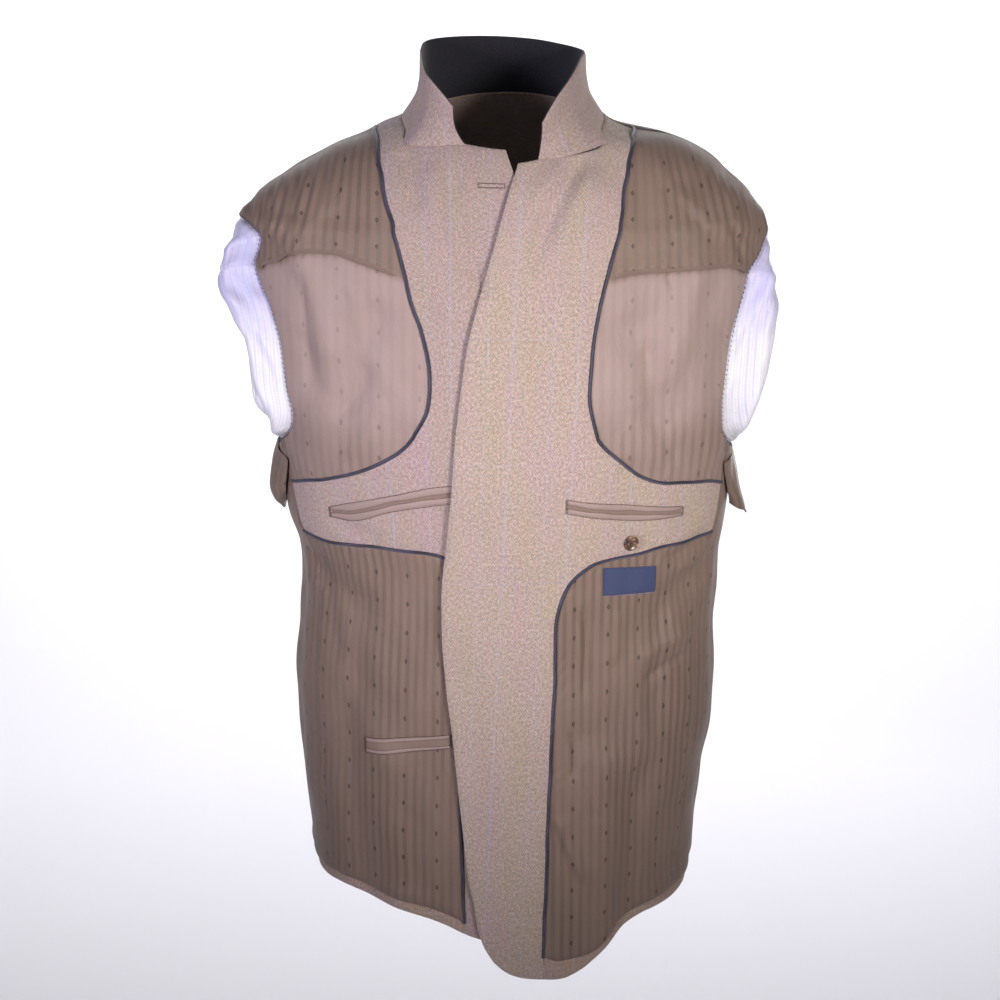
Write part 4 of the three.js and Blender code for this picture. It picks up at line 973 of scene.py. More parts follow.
def wool(name, tint, slant=0.0):
    """Light heathered twill with a faint windowpane in blue and rust, whose lines may slant."""
    made = Finish(name, roughness=0.9, Sheen_Weight=0.2, Sheen_Roughness=0.5, Specular_IOR_Level=0.2)
    flat, across, down = made.flat()
    fibres = made.noise(flat, 0.46, 4, (1, 0.75, 1), 0.8)
    flecks = made.noise(flat, 0.36, 3, (1, 0.8, 1), 0.8)
    clouds = made.noise(flat, 0.035, 2, (1, 0.25, 1), 0.5)
    color = made.ramp(fibres, (0.39, scaled(tint, 0.30)), (0.5, tint), (0.61, scaled(tint, 1.95)))
    tints = made.ramp(
        flecks, (0.34, scaled(tint, 1.18, 0.82, 0.68)), (0.5, tint), (0.66, scaled(tint, 0.88, 0.99, 1.28))
    )
    color = made.mix(0.42, color, tints)
    bands = made.ramp(
        clouds, (0.36, scaled(tint, 0.94, 0.98, 0.80)), (0.5, tint), (0.64, scaled(tint, 1.02, 0.93, 1.12))
    )
    color = made.mix(0.4, color, bands)
    twill = made.wave(made.math("ADD", across, made.times(down, 0.62)), 2.4)
    color = made.mix(made.fit(twill, 0.15, 0.16), color, scaled(tint, 0.4))
    drift = made.fit(made.math("ADD", down, 141.0), -slant, across)
    broken = made.noise(flat, 0.5, 2)
    blue = (0.36, 0.38, 0.66)
    rust = (0.46, 0.20, 0.10)
    for value, pitch, offset, width, yarn, strength in (
        (drift, 57.6, 9.7, 1.9, blue, 0.27),
        (drift, 57.6, 45.2, 1.6, blue, 0.19),
        (drift, 57.6, 27.0, 1.2, rust, 0.28),
        (drift, 57.6, 57.0, 1.0, rust, 0.2),
        (down, 116.0, -59.0, 1.4, blue, 0.16),
        (down, 116.0, -1.0, 1.2, rust, 0.14),
    ):
        on = made.times(made.line(value, pitch, offset, width), broken)
        color = made.mix(made.times(on, strength), color, yarn)
    made.color(color)
    made.bump(made.fit(twill, 0.35, made.times(fibres, 1.2)), 0.4, 0.6)
    return made.material


def jacquard(name, tint, painted_sheen_color):
    """Satin lining with herringbone stripes and small dark diamonds. Its painted light runs from 0, the
    plain satin, to 1, painted sheen: a paler, pinker colour in which the stripes and diamonds fade.
    """
    made = Finish(
        name, roughness=0.52, Sheen_Weight=0.02, Sheen_Roughness=0.4, Specular_IOR_Level=0.2,
        Anisotropic=0.4,
    )
    flat, across, down = made.flat()
    tone = made.tone()
    band = made.math("PINGPONG", across, 5.2)
    hatch = made.wave(made.math("ADD", band, down), 1.7)
    patches = made.noise(flat, 0.018, 2, (1, 0.35, 1), 0.5)
    shown = made.ramp(patches, (0.38, (0.4,) * 3), (0.6, (1.0,) * 3))
    # Painted sheen: it fades the stripes, paints the colour paler and pinker, and fades the diamonds.
    stripes = made.times(made.fit(tone, -0.8, 1.0), shown)
    stripe = made.times(made.line(across, 10.4, 2.6, 4.6, 0.9), stripes)
    color = made.mix(made.times(stripe, 0.6), made.mix(tone, tint, painted_sheen_color), scaled(tint, 0.42))
    color = made.mix(made.times(made.fit(hatch, 0.16, 0.16), stripes), color, scaled(tint, 0.35))
    shade = made.noise(flat, 0.03, 3, (1, 0.5, 1), 0.6)
    color = made.mix(made.times(shade, 0.35), color, scaled(tint, 0.62))
    threads = made.noise(flat, 0.9, 3, (1, 0.4, 1), 0.7)
    color = made.mix(made.times(threads, 0.22), color, scaled(tint, 1.9))
    wide, tall = (
        made.from_lines(way, pitch) for way, pitch in ((across, DIAMOND_PITCH[0]), (down, DIAMOND_PITCH[1]))
    )
    reach = made.math("ADD", made.times(wide, 1.6), tall)
    outer = made.math("LESS_THAN", reach, 2.9)
    inner = made.math("LESS_THAN", reach, 1.3)
    mark = made.math("SUBTRACT", outer, made.times(inner, 0.8))
    color = made.mix(made.times(mark, made.fit(tone, -0.5, 0.8)), color, scaled(tint, 0.07))
    made.color(color)
    made.rough(made.fit(hatch, 0.05, made.fit(stripe, -0.08, 0.5)))
    wrinkles = made.noise(flat, 0.11, 4, (1, 0.6, 1), 0.6)
    made.bump(made.fit(hatch, 0.08, made.times(wrinkles, 1.6)), 1.1, 0.55)
    return made.material


def striped_satin():
    """White sleeve lining with pale blue and lavender stripes along the sleeve."""
    made = Finish("sleeve_satin", roughness=0.42, Sheen_Weight=0.15, Specular_IOR_Level=0.4)
    flat, across, down = made.flat()
    # Painted shade: where the painted light is high, the white satin is painted a darker lavender.
    color = made.mix(made.tone(), (0.63, 0.63, 0.68), (0.47, 0.46, 0.66))
    broken = made.noise(flat, 0.25, 3, (1, 0.2, 1))
    for pitch, offset, width, yarn, strength in (
        (6.2, 1, 0.9, (0.36, 0.38, 0.68), 0.6),
        (6.2, 4.1, 0.6, (0.46, 0.42, 0.70), 0.5),
        (24.8, 14, 1.5, (0.38, 0.40, 0.68), 0.4),
        (24.8, 22, 0.8, (0.74, 0.48, 0.52), 0.3),
    ):
        on = made.times(made.line(across, pitch, offset, width, 0.25), broken)
        color = made.mix(made.times(on, strength * 1.5), color, yarn)
    made.color(color)
    threads = made.wave(down, 0.9)
    wrinkles = made.noise(flat, 0.12, 3, (1, 0.3, 1))
    folds = made.noise(flat, 0.085, 3, (1, 0.16, 1))
    made.bump(made.fit(threads, 0.05, made.fit(folds, 3.2, wrinkles)), 1.4, 0.8)
    return made.material


def satin_piping():
    made = Finish("piping_satin", roughness=0.42, Specular_IOR_Level=0.45, Sheen_Weight=0.1)
    flat, across, down = made.flat()
    shade = made.noise(flat, 0.12, 3, (1, 0.3, 1))
    made.color(made.ramp(shade, (0.35, (0.013, 0.012, 0.027)), (0.65, (0.052, 0.047, 0.086))))
    made.bump(made.wave(made.math("ADD", down, across), 1.2), 0.15, 0.5)
    return made.material


def felt():
    made = Finish("collar_felt", roughness=1.0, Specular_IOR_Level=0.1, Sheen_Weight=0.2)
    fibres = made.noise(made.place(), 1400, 4)
    made.color(made.ramp(fibres, (0.3, (0.010, 0.010, 0.015)), (0.7, (0.030, 0.029, 0.038))))
    made.bump(fibres, 0.3, 0.7)
    return made.material


def horn():
    made = Finish("horn", roughness=0.25, Specular_IOR_Level=0.6, Coat_Weight=0.3, Coat_Roughness=0.15)
    streaks = made.noise(made.place(), 150, 4, (1, 1, 2.5))
    made.color(made.ramp(
        streaks, (0.36, (0.035, 0.018, 0.014)), (0.5, (0.11, 0.06, 0.045)), (0.66, (0.36, 0.22, 0.11))
    ))
    return made.material


def bare_label():
    made = Finish("label_weave", roughness=0.6, Sheen_Weight=0.15)
    flat, _, down = made.flat()
    grain = made.noise(flat, 1.4, 3)
    made.color(made.ramp(grain, (0.3, (0.012, 0.020, 0.070)), (0.7, (0.030, 0.046, 0.135))))
    made.bump(made.fit(made.wave(down, 0.55), 0.5, grain), 0.15, 0.5)
    return made.material


def thread(name, color):
    made = Finish(name, roughness=0.6, Sheen_Weight=0.15)
    twist = made.noise(made.place(), 1800, 2)
    made.color(made.mix(made.times(twist, 0.6), color, scaled(color, 0.5)))
    made.bump(twist, 0.1, 0.6)
    return made.material


# The two facings are one cloth; the right one is painted lighter and warmer than the left: painted light.
WOOL = {
    "left": wool("wool_left", (0.345, 0.268, 0.252)),
    "right": wool("wool_right", (0.372, 0.296, 0.262), 0.045),
}
WOOL_SHELL = wool("wool_shell", (0.34, 0.255, 0.215))
# The second colour is painted sheen: the same satin painted paler and pinker where it catches the light.
LINING = jacquard("lining_jacquard", (0.190, 0.134, 0.111), (0.325, 0.246, 0.238))
SATIN = striped_satin()
PIPING_SATIN = satin_piping()
FELT = felt()
HORN = horn()
NAVY = bare_label()
BROWN_THREAD = thread("brown_thread", (0.085, 0.045, 0.035))
TAN_THREAD = thread("tan_thread", (0.17, 0.105, 0.085))
NAVY_THREAD = thread("navy_thread", (0.022, 0.020, 0.05))
PALE_THREAD = thread("pale_thread", (0.34, 0.32, 0.42))


# The body's panels

PLANS = {side: plan_side(side) for side in SIDES}


def soft_edge(points, edge, deep, reach):
    """An edge that is rolled under by `deep` over the last `reach`."""
    return -deep * bell(edge_distances(points)[edge] / reach)


def every(count, step):
    """Every `step`-th index, and the last."""
    return np.unique(np.append(np.arange(0, count, step), count - 1))


def make_shell(side, plan):
    """The wool inside the linings. It is coarse where they hide it, and stands out at the hem."""

    def plain(name):
        hem = name.endswith("hem")
        places = plan[name][every(plan[name].shape[0], 1 if hem else 4)][:, ::2]
        point, normal = surface(places, plan["lapped"] and not name.startswith(("side", "back")))
        height = SHELL_HIDDEN + np.minimum(creases(point, normal) + unevenness(point), 0.5)
        if hem:
            share = np.linspace(0, 1, places.shape[0])[:, None]
            fullness = 2.0 * smooth(share * 2) - 1.1 * smooth((share - 0.75) * 4)
            height = height + fullness + undulation(point, 61, 45, 0.5) * share
        return raised(point, normal, height), cloth_uv(places)

    for part, names in (
        ("front", ("strap", "chest", "belt", "skirt", "skirt_hem")),
        ("side", ("side", "side_hem")),
        ("back", ("back", "back_hem")),
    ):
        grids = [plain(name) for name in names]
        shell = make_mesh(f"shell_{part}_{side}_cloth", grids, THICKNESS["shell"], plan["sign"] < 0)
        dress(shell, f"shell_{part}_{side}", WOOL_SHELL)


def make_facing(side, plan):
    def rolled(point):
        return soft_edge(point, "left", 1.3, 1.6) + soft_edge(point, "bottom", 1.2, 1.6)

    rows = np.arange(plan["strap"].shape[0])[:, None]
    from_belt = np.abs(rows - DOWN["chest"] - DOWN["belt"] / 2) - DOWN["belt"] / 2
    seam = (0.35, 9, 17, smooth(from_belt / 8))
    strap = panel(plan, "strap", LINING_OUT, {"right": seam}, 3, rolled)
    edges = {"top": (0.3, 8, 15), "bottom": (0.4, 9, 14), "right": (0.3, 7, 12)}
    belt = panel(plan, "belt", LINING_OUT, edges, 3)
    facing = make_mesh(f"facing_{side}_cloth", [strap, belt], THICKNESS["facing"], plan["sign"] < 0)
    dress(facing, f"facing_{side}", WOOL[side])


def make_linings(side, plan):
    pleat = profile(PLEATS[side], "x", "z")
    low, high = PLEATS[side]["x"].min(), PLEATS[side]["x"].max()

    def eased(point):
        """The upper part of the chest lining hangs over the lower one at the pleat."""
        x = point[..., 0]
        above = point[..., 2] - pleat(np.clip(x, low, high))
        on = smooth((x - low) / 14 + 0.3) * smooth((high - x) / 14 + 0.3)
        return on * np.where(above > 0, 1.6 * bell(above / 14), -0.9 * bell(above / 9))

    def hanging(point):
        """The lining hangs a little full over its hem."""
        away = edge_distances(point)["bottom"]
        return 1.6 * bell((away - 9) / 9) - 1.2 * bell(away / 1.5)

    def painted_sheen_below_pleat(point):
        """Painted sheen: the satin is painted pale and smooth under the pleat, where it catches the light,
        and left darker and striped above it. Below a height of about -235 mm the painted sheen weakens by
        nearly half.
        """
        x = point[..., 0]
        line = pleat(np.clip(x, low, high))
        return smooth((line - point[..., 2]) / 7) * (1 - 0.45 * smooth((-235 - point[..., 2]) / 60))

    specs = (
        ("chest", 11, eased, {
            "right": (1.15, 13, 8.5), "left": (0.4, 9, 12), "bottom": (0.5, 11, 11), "top": (0.4, 9, 9)}),
        ("skirt", 12, hanging, {
            "top": (0.7, 13, 12), "left": (0.5, 11, 15), "right": (0.8, 11, 11), "bottom": (0.4, 8, 22)}),
        ("side", 13, hanging, {"left": (0.8, 10, 11), "right": (0.5, 9, 12), "top": (0.9, 10, 9)}),
        ("back", 14, hanging, {"left": (0.8, 11, 11), "right": (0.4, 9, 20), "top": (0.5, 9, 14)}),
    )
    for name, seed, extra, seams in specs:
        points, uv = panel(plan, name, LINING_OUT, seams, seed, extra)
        if name == "skirt":
            uv = uv * [SKIRT_FULLNESS, 1]
        # Only the chest lining is given painted sheen.
        tone = painted_sheen_below_pleat(points) if name == "chest" else np.zeros(points.shape[:2])
        piece = "lower" if name == "skirt" else name
        grids = [(points, uv, tone)]
        cloth = make_mesh(f"{piece}_lining_{side}_cloth", grids, THICKNESS["lining"], plan["sign"] < 0)
        dress(cloth, f"{piece}_lining_{side}", LINING)


def cross_section(count):
    """Half-round section of a piping: across from -1 to 1, and height from 0 to 1."""
    over = np.linspace(-1, 1, count)
    under = np.linspace(1, -1, 5)[1:]
    across = np.concatenate([over, under])
    height = np.concatenate([(1 - np.abs(over) ** 2.6), np.zeros(4)])
    return across, height


def make_piping(side, plan, name):
    point, normal = worn(plan["seams"][name], plan["lapped"])
    across = np.cross(normal, np.gradient(point, axis=0))
    across /= np.linalg.norm(across, axis=-1, keepdims=True)
    at, height = cross_section(9)
    chance = np.random.default_rng(5)
    run = run_lengths(point)
    wobble = 0.25 * np.sin(run / 17 + chance.uniform(0, 6)) + 0.15 * np.sin(run / 7)
    sideways = at[None, :, None] * PIPING["width"] / 2 + wobble[:, None, None]
    height = PIPING_OUT + PIPING["height"] * height[None, :, None]
    points = point[:, None] + across[:, None] * sideways + normal[:, None] * height
    girth = np.linspace(0, PIPING["girth"], len(at))
    uv = np.stack(np.broadcast_arrays(girth[None, :], -run[:, None]), -1) * MM
    piping = make_mesh(f"{name}_piping_{side}_cord", [(points, uv)], 0, plan["sign"] < 0)
    dress(piping, f"{name}_piping_{side}", PIPING_SATIN)


def front_surface(x, z, side, extra=0.0):
    """Points on the front at x and z of the front view, with their outward directions."""
    return worn(np.stack([front_turn(x, z), z], -1), side == "right", extra)


def stitch_run(points, normals, pitch, length, slant=0.0):
    """Starts and ends of stitches along a line on the cloth. A slant turns them across the line."""
    run = run_lengths(points)
    middles = np.arange(pitch / 2, run[-1], pitch)

    def at(where, what):
        return np.stack([np.interp(where, run, column) for column in what.T], -1)

    along = at(middles + length / 2, points) - at(middles - length / 2, points)
    along /= np.maximum(np.linalg.norm(along, axis=1, keepdims=True), 1e-6)
    across = np.cross(at(middles, normals), along)
    half = (along * math.cos(slant) + across * math.sin(slant)) * length / 2
    return at(middles, points) - half, at(middles, points) + half, at(middles, normals)


def sew(name, runs, radius, material):
    """Short stitches of thread, each a low six-sided arch that dips into the cloth at its ends."""
    starts, ends, normals = (np.concatenate(part) for part in zip(*runs))
    share = np.linspace(0, 1, 5)
    arch = np.array([-1.4, 0.3, 0.8, 0.3, -1.4]) * radius
    thick = np.array([0.75, 1, 1, 1, 0.75]) * radius
    sides = 6
    angles = np.linspace(0, 2 * math.pi, sides, endpoint=False)
    along = ends - starts
    beside = np.cross(along / np.linalg.norm(along, axis=1, keepdims=True), normals)
    spine = starts[:, None] + along[:, None] * share[None, :, None]
    spine = spine + normals[:, None] * arch[None, :, None]
    ring = (
        beside[:, None, None] * np.cos(angles)[None, None, :, None]
        + normals[:, None, None] * np.sin(angles)[None, None, :, None]
    )
    vertices = (spine[:, :, None] + ring * thick[None, :, None, None]).reshape(-1, 3) * MM
    faces = []
    for base in range(0, len(vertices), len(share) * sides):
        for low in range(base, base + (len(share) - 1) * sides, sides):
            for k in range(sides):
                after = (k + 1) % sides
                faces.append((low + k, low + after, low + sides + after, low + sides + k))
        last = base + (len(share) - 1) * sides
        faces.append(tuple(base + k for k in reversed(range(sides))))
        faces.append(tuple(last + k for k in range(sides)))
    mesh = bpy.data.meshes.new(name)
    mesh.from_pydata(vertices.tolist(), [], faces)
    mesh.shade_smooth()
    dress(add_object(name, mesh), None, material)


def front_line(corners, side, lift, count=60):
    """A line on the front through corners given by x and z, raised by `lift`."""
    places = even(np.array(corners, float), count)
    point, normal = front_surface(places[:, 0], places[:, 1], side, lift)
    return point, normal


def welt(name, node, side, ends, edges, crown, tone, rows=9):
    """A strip of lining across a front, with a crown for its height over 0 to 1 from top to bottom, and a
    share of painted sheen from 0 to 1 for its satin.
    """
    start, end = ends
    x = np.linspace(start, end, max(12, int(abs(end - start) / 1.5)))
    down = np.linspace(0, 1, rows)[:, None]
    top, bottom = (edge(x)[None, :] for edge in edges)
    z = blend(top, bottom, down)
    point, normal = front_surface(np.broadcast_to(x, z.shape), z, side)
    at_ends = np.minimum(1, np.minimum(np.arange(len(x)), np.arange(len(x))[::-1]) / 2)
    points = raised(point, normal, JET_OUT + crown(down) * at_ends)
    uv = np.stack(np.broadcast_arrays(blend(*PLAIN_BAND, down), x[None, :]), -1) * MM
    piece = make_mesh(name, [(points, uv, np.full(z.shape, tone))], THICKNESS["jet"])
    dress(piece, node, LINING)


def make_pocket(name):
    """Two jets with a sunken slit between them, stitched all round."""
    side = name.split("_")[2]
    lines, slit = POCKETS[name]
    top = profile(lines, "x", "top")
    bottom = profile(lines, "x", "bottom")
    start, end = lines["x"].min(), lines["x"].max()
    low = name.startswith("low")
    crease = 3.2 if low else 2.2

    def crown(down):
        return 0.35 + 1.0 * np.sin(np.pi * np.clip(down, 0, 1)) ** 0.6

    def inner(way):
        """The edge of a jet beside the slit. It waves a little."""

        def edge(x):
            sag = 0.35 * np.sin(x / 9 + way) + 0.25 * np.sin(x / 4.3)
            return (top(x) + bottom(x)) / 2 + way * (crease + slit) / 2 + sag * (0.6 if low else 1)

        return edge

    # Painted sheen: the jets are painted with nearly full sheen (0.95), the bag in the slit with very little
    # (0.15).
    for part, edges in (("upper", (top, inner(1))), ("lower", (inner(-1), bottom))):
        welt(f"{name}_{part}_welt", f"{name}_{part}_jet", side, (start, end), edges, crown, 0.95)
    mouth = (lambda x: top(x) - 1, lambda x: bottom(x) + 1)
    welt(f"{name}_bag", None, side, (start + 1, end - 1), mouth,
         lambda down: 0.3 - 0.25 * np.sin(np.pi * down), 0.15, 7)
    x = np.linspace(start, end, 30)
    edges = ((top, 0.5), (bottom, -0.5), (inner(1), 0.2), (inner(-1), -0.2))
    rows = [np.stack([x, edge(x) + off], -1) for edge, off in edges]
    bars = [
        np.array([[at, top(near) + 0.3], [at, bottom(near) - 0.3]])
        for near, at in ((start, start - 0.3), (end, end + 0.3))
    ]
    runs = [stitch_run(*front_line(row, side, 3.5), 2.4, 1.9) for row in rows]
    runs += [stitch_run(*front_line(bar, side, 3.6), 1.1, 2.2, 1.3) for bar in bars]
    sew(f"{name}_stitches", runs, 0.3, BROWN_THREAD)


def make_pleat(side):
    """The lip of the ease pleat, which hangs over the lower part of the chest lining."""
    line = profile(PLEATS[side], "x", "z")
    ends = PLEATS[side]["x"].min(), PLEATS[side]["x"].max()
    edges = (lambda x: line(x) + 3.5, lambda x: line(x) - 2)
    # The lip is painted with a little sheen (0.2).
    welt(f"chest_pleat_{side}_lip", f"chest_pleat_{side}", side, ends, edges,
         lambda down: 0.4 + 3.2 * down**1.4, 0.2, 10)


def refine(points, per):
    """Dense rows through the rows of points, on a smooth curve through each column."""
    p = np.concatenate([2 * points[:1] - points[1:2], points, 2 * points[-1:] - points[-2:-1]])
    t = np.linspace(0, 1, per, endpoint=False).reshape(-1, *[1] * (p.ndim - 1))
    found = []
    for i in range(1, len(p) - 2):
        before, start, end, after = p[i - 1 : i + 3]
        bend = 2 * before - 5 * start + 4 * end - after
        twist = 3 * start - before - 3 * end + after
        found.append(0.5 * (2 * start + (end - before) * t + bend * t**2 + twist * t**3))
    return np.concatenate([*found, p[-2:-1]])


def grid_normals(points, closed, sign):
    if closed:
        along = np.roll(points, -1, axis=1) - np.roll(points, 1, axis=1)
    else:
        along = np.gradient(points, axis=1)
    down = np.gradient(points, axis=0)
    normal = np.cross(along, down) * sign
    return normal / np.maximum(np.linalg.norm(normal, axis=-1, keepdims=True), 1e-9)


def run_uv(points):
    """Flat places of a free grid from its own lengths, in metres."""
    distances = edge_distances(points)
    middle = points.shape[0] // 2
    across = np.broadcast_to(distances["left"][middle][None, :], points.shape[:2])
    return np.stack([across, -distances["top"]], -1) * MM


def make_collar():
    stations = []
    for side in SIDES:
        sign = SIDES[side]
        places = np.vstack([SEAMS[side]["neck"], BACK_NECK[1:]]) * [sign, 1]
        stations.append(worn(places, side == "right")[0])
    base = np.vstack([stations[0], stations[1][:-1][::-1]])
    tops = np.array(
        [(-x, y, z) for x, y, z in COLLAR_TOPS["left"]] + [COLLAR_TOPS["centre"]]
        + [(x, y, z) for x, y, z in COLLAR_TOPS["right"][::-1]], float,
    )
    base = refine(base, 14)
    tops = refine(tops, 14)

    def rise(start, share):
        across = 1 - (1 - share) ** COLLAR_SPREAD
        flat = blend(start[:, :2], tops[:, :2], across)
        return np.concatenate([flat, blend(start[:, 2:], tops[:, 2:], share)], 1)

    lift = rise(base, 0.05) - base
    start = base + lift / np.linalg.norm(lift, axis=1, keepdims=True) * COLLAR_LIFT
    points = np.stack([rise(start, share) for share in np.linspace(0, 1, 26)])
    normal = grid_normals(points, False, -1)
    wave = undulation(points, 21, 60, 0.7) + crease_lines(points, COLLAR_CREASES)
    rolled = soft_edge(points, "bottom", 0.9, 1.5)
    for edge in ("top", "left", "right"):
        rolled += soft_edge(points, edge, 0.8, 1.2)
    uv = run_uv(points)
    outer = raised(points, normal, COLLAR_OUT["top"] + wave + rolled)
    inner = raised(points, normal, COLLAR_OUT["under"] + wave)
    top = make_mesh("top_collar_cloth", [(outer, uv)], THICKNESS["collar"])
    dress(top, "top_collar", WOOL["left"])
    under = make_mesh("undercollar_cloth", [(inner, uv)], THICKNESS["collar"])
    dress(under, "undercollar", FELT)


def make_sleeve(side, plan):
    sign = plan["sign"]
    loop = surface(plan["armhole"])[0]
    loop = even(np.vstack([loop, loop[:1]]), 180)[:-1]
    centre = loop.mean(0)
    along = np.roll(loop, -2, axis=0) - np.roll(loop, 2, axis=0)
    inwards = np.stack([-along[:, 2], along[:, 1]], -1)
    inwards /= np.linalg.norm(inwards, axis=1, keepdims=True)
    arms = loop[:, 1:] - centre[1:] + inwards * SLEEVE_INSET
    bulge = profile(SLEEVE_BULGE[side], "z", "out")
    share_round = np.arange(len(loop)) / len(loop)

    def ripple(ring, height):
        return height * np.cos(2 * np.pi * SLEEVE_WAVES * share_round + 0.6 * ring)

    rings = []
    for ring, (scale, share, wave) in enumerate(zip(*BULGE_RINGS.values())):
        y, z = (arms * scale + centre[1:]).T
        full = sign * (HALF_WIDTH[side](z) + bulge(z) - SLEEVE_EASE + ripple(ring, wave) * 0.6)
        rings.append(np.stack([blend(loop[:, 0], full, share), y, z], -1))
    for ring, (out, z, tilt, deep, tall, wave) in enumerate(zip(*SLEEVE_RINGS.values())):
        lean = math.radians(tilt)
        angle = np.arctan2(arms[:, 0], arms[:, 1])
        up = (tall + ripple(ring + 5, wave)) * np.cos(angle)
        y = SLEEVE_MIDDLE_Y + deep * np.sin(angle)
        rings.append(np.stack([sign * (out - up * math.sin(lean)), y, z + up * math.cos(lean)], -1))
    per = 9
    points = refine(np.stack(rings), per)
    normal = grid_normals(points, True, sign)
    flat = run_uv(points)
    run = edge_distances(points)["top"]
    around = share_round[None, :] * 2 * np.pi
    chance = np.random.default_rng(31 if sign > 0 else 32)
    height = np.zeros(points.shape[:2])
    for waves, length, deep in ((2, 46, 1.5), (-1, 33, 1.2), (5, 30, 0.9), (9, 26, 0.7), (13, 19, 0.4)):
        phase = chance.uniform(0, 6.3) + 0.8 * np.sin(around * 2 + chance.uniform(0, 6.3))
        height += deep * np.sin(waves * around + 2 * np.pi * run / length + phase)
    height *= smooth(run / 16) * (1 - 0.8 * smooth((run - 150) / 60))
    height += puckers(points, {"top": (1.0, 11, 9)}, 33)
    twisted = np.stack([flat[..., 1] + 0.16 * flat[..., 0], flat[..., 0]], -1)
    # Painted shade: the sleeve lining is painted a darker lavender from about -215 mm upwards, fully from
    # -145 mm, where its top gets less light.
    tone = smooth((points[..., 2] + 215) / 70)

    def closed(grid):
        """The grid with its first column again at its end."""
        return np.concatenate([grid, grid[:, :1]], axis=1)

    uv = np.concatenate([twisted, twisted[:, -1:] + [0, MM * 2.5]], axis=1)
    outer = closed(raised(points, normal, SLEEVE_OUT["lining"] + height))
    inner = closed(raised(points, normal, SLEEVE_OUT["wool"] + height))
    lined = (LINED_RINGS - 1) * per + 1
    grids = [(outer[:lined], uv[:lined], closed(tone)[:lined])]
    lining = make_mesh(f"sleeve_lining_{side}_cloth", grids, THICKNESS["lining"], sign > 0)
    dress(lining, f"sleeve_lining_{side}", SATIN)
    rows = every(len(inner), 2)
    sleeve = make_mesh(f"sleeve_{side}_cloth", [(inner[rows], uv[rows])], THICKNESS["sleeve"], sign > 0)
    dress(sleeve, f"sleeve_{side}", WOOL_SHELL)


def make_shield(side):
    sign = SIDES[side]
    off = profile(SHIELD[side], "down", "off")
    underarm = SEAMS[side]["underarm"][2][1]
    down = np.linspace(0, 1, 40)[:, None]
    across = np.linspace(-1, 1, 60)[None, :]
    reach = SHIELD["half_width"] * (1 - 0.45 * down**2)
    z = underarm + SHIELD["top"] - SHIELD["drop"] * down * (1 - 0.3 * across**2)
    turn = sign * (90 - across * reach / 2.4)
    point, normal = surface(np.stack([turn, z], -1))
    height = SHIELD["stand_off"] + off(down) * (1 - 0.85 * across**4)
    points = raised(point, normal, height)
    out = grid_normals(points, False, sign)
    wave = undulation(points, 41, 30, 0.8) - soft_edge(points, "bottom", 0.8, 3)
    grids = [(raised(points, out, THICKNESS["shield"] + wave), run_uv(points))]
    shield = make_mesh(f"underarm_shield_{side}_cloth", grids, THICKNESS["shield"], sign > 0)
    dress(shield, f"underarm_shield_{side}", LINING)


def make_label():
    left, right = LABEL["left"], LABEL["right"]
    x = np.linspace(left, right, 46)
    top = np.interp(x, (left, right), LABEL["top"])
    bottom = np.interp(x, (left, right), LABEL["bottom"])
    z = blend(top[None, :], bottom[None, :], np.linspace(0, 1, 20)[:, None])
    point, normal = front_surface(np.broadcast_to(x, z.shape), z, "right")
    height = LABEL_OUT + undulation(point, 51, 25, 0.25)
    for edge in ("left", "right"):
        height -= soft_edge(point, edge, 0.25, 3)
    uv = np.stack(np.broadcast_arrays(x[None, :], z), -1) * MM
    label = make_mesh("label_cloth", [(raised(point, normal, height), uv)], THICKNESS["label"])
    dress(label, "label", NAVY)
    (top_left, top_right), (low_left, low_right) = LABEL["top"], LABEL["bottom"]
    corners = (
        (left + 1, top_left - 1), (right - 1, top_right - 1), (left + 1, low_left + 1),
        (right - 1, low_right + 1),
    )
    outline = [(corners[a], corners[b]) for a, b in ((0, 1), (2, 3), (0, 2), (1, 3))]
    runs = [stitch_run(*front_line(line, "right", 4.25), 3.2, 1.6) for line in outline]
    sew("label_stitches", runs, 0.2, NAVY_THREAD)
    edge = front_line(((left, low_left - 0.3), (right, low_right - 0.3)), "right", 3.6)
    sew("label_edge_stitches", [stitch_run(*edge, 1.5, 1.3)], 0.22, PALE_THREAD)


def make_buttonhole():
    """The uncut buttonhole of the left lapel: two close rows of stitches with a bar at each end."""
    (left, right), (low, high) = BUTTONHOLE["x"], BUTTONHOLE["z"]
    rows = [front_line(((left, z), (right, z)), "left", 3.15) for z in (low, high)]
    bars = [front_line(((x, low - 0.6), (x, high + 0.6)), "left", 3.2) for x in (left, right)]
    runs = [stitch_run(*row, 0.95, 1.5, 1.35) for row in rows]
    runs += [stitch_run(*bar, 0.8, 1.6, 1.4) for bar in bars]
    sew("lapel_buttonhole", runs, 0.26, TAN_THREAD)


def make_armhole_stitches(side, plan):
    """Slanted hand stitches that hold the linings round the armhole. Their very dark navy also stands in for
    the shadow along the armhole seam: painted shade.
    """
    places = plan["armhole"]
    point, normal = surface(np.vstack([places, places[:1]]))
    outwards = point - point.mean(0)
    outwards[:, 0] = 0
    outwards /= np.linalg.norm(outwards, axis=1, keepdims=True)
    line = point + normal * (LINING_OUT + 0.1) + outwards * 1.3
    sew(f"armhole_stitches_{side}", [stitch_run(line, normal, 4.6, 2.8, 0.7)], 0.3, NAVY_THREAD)


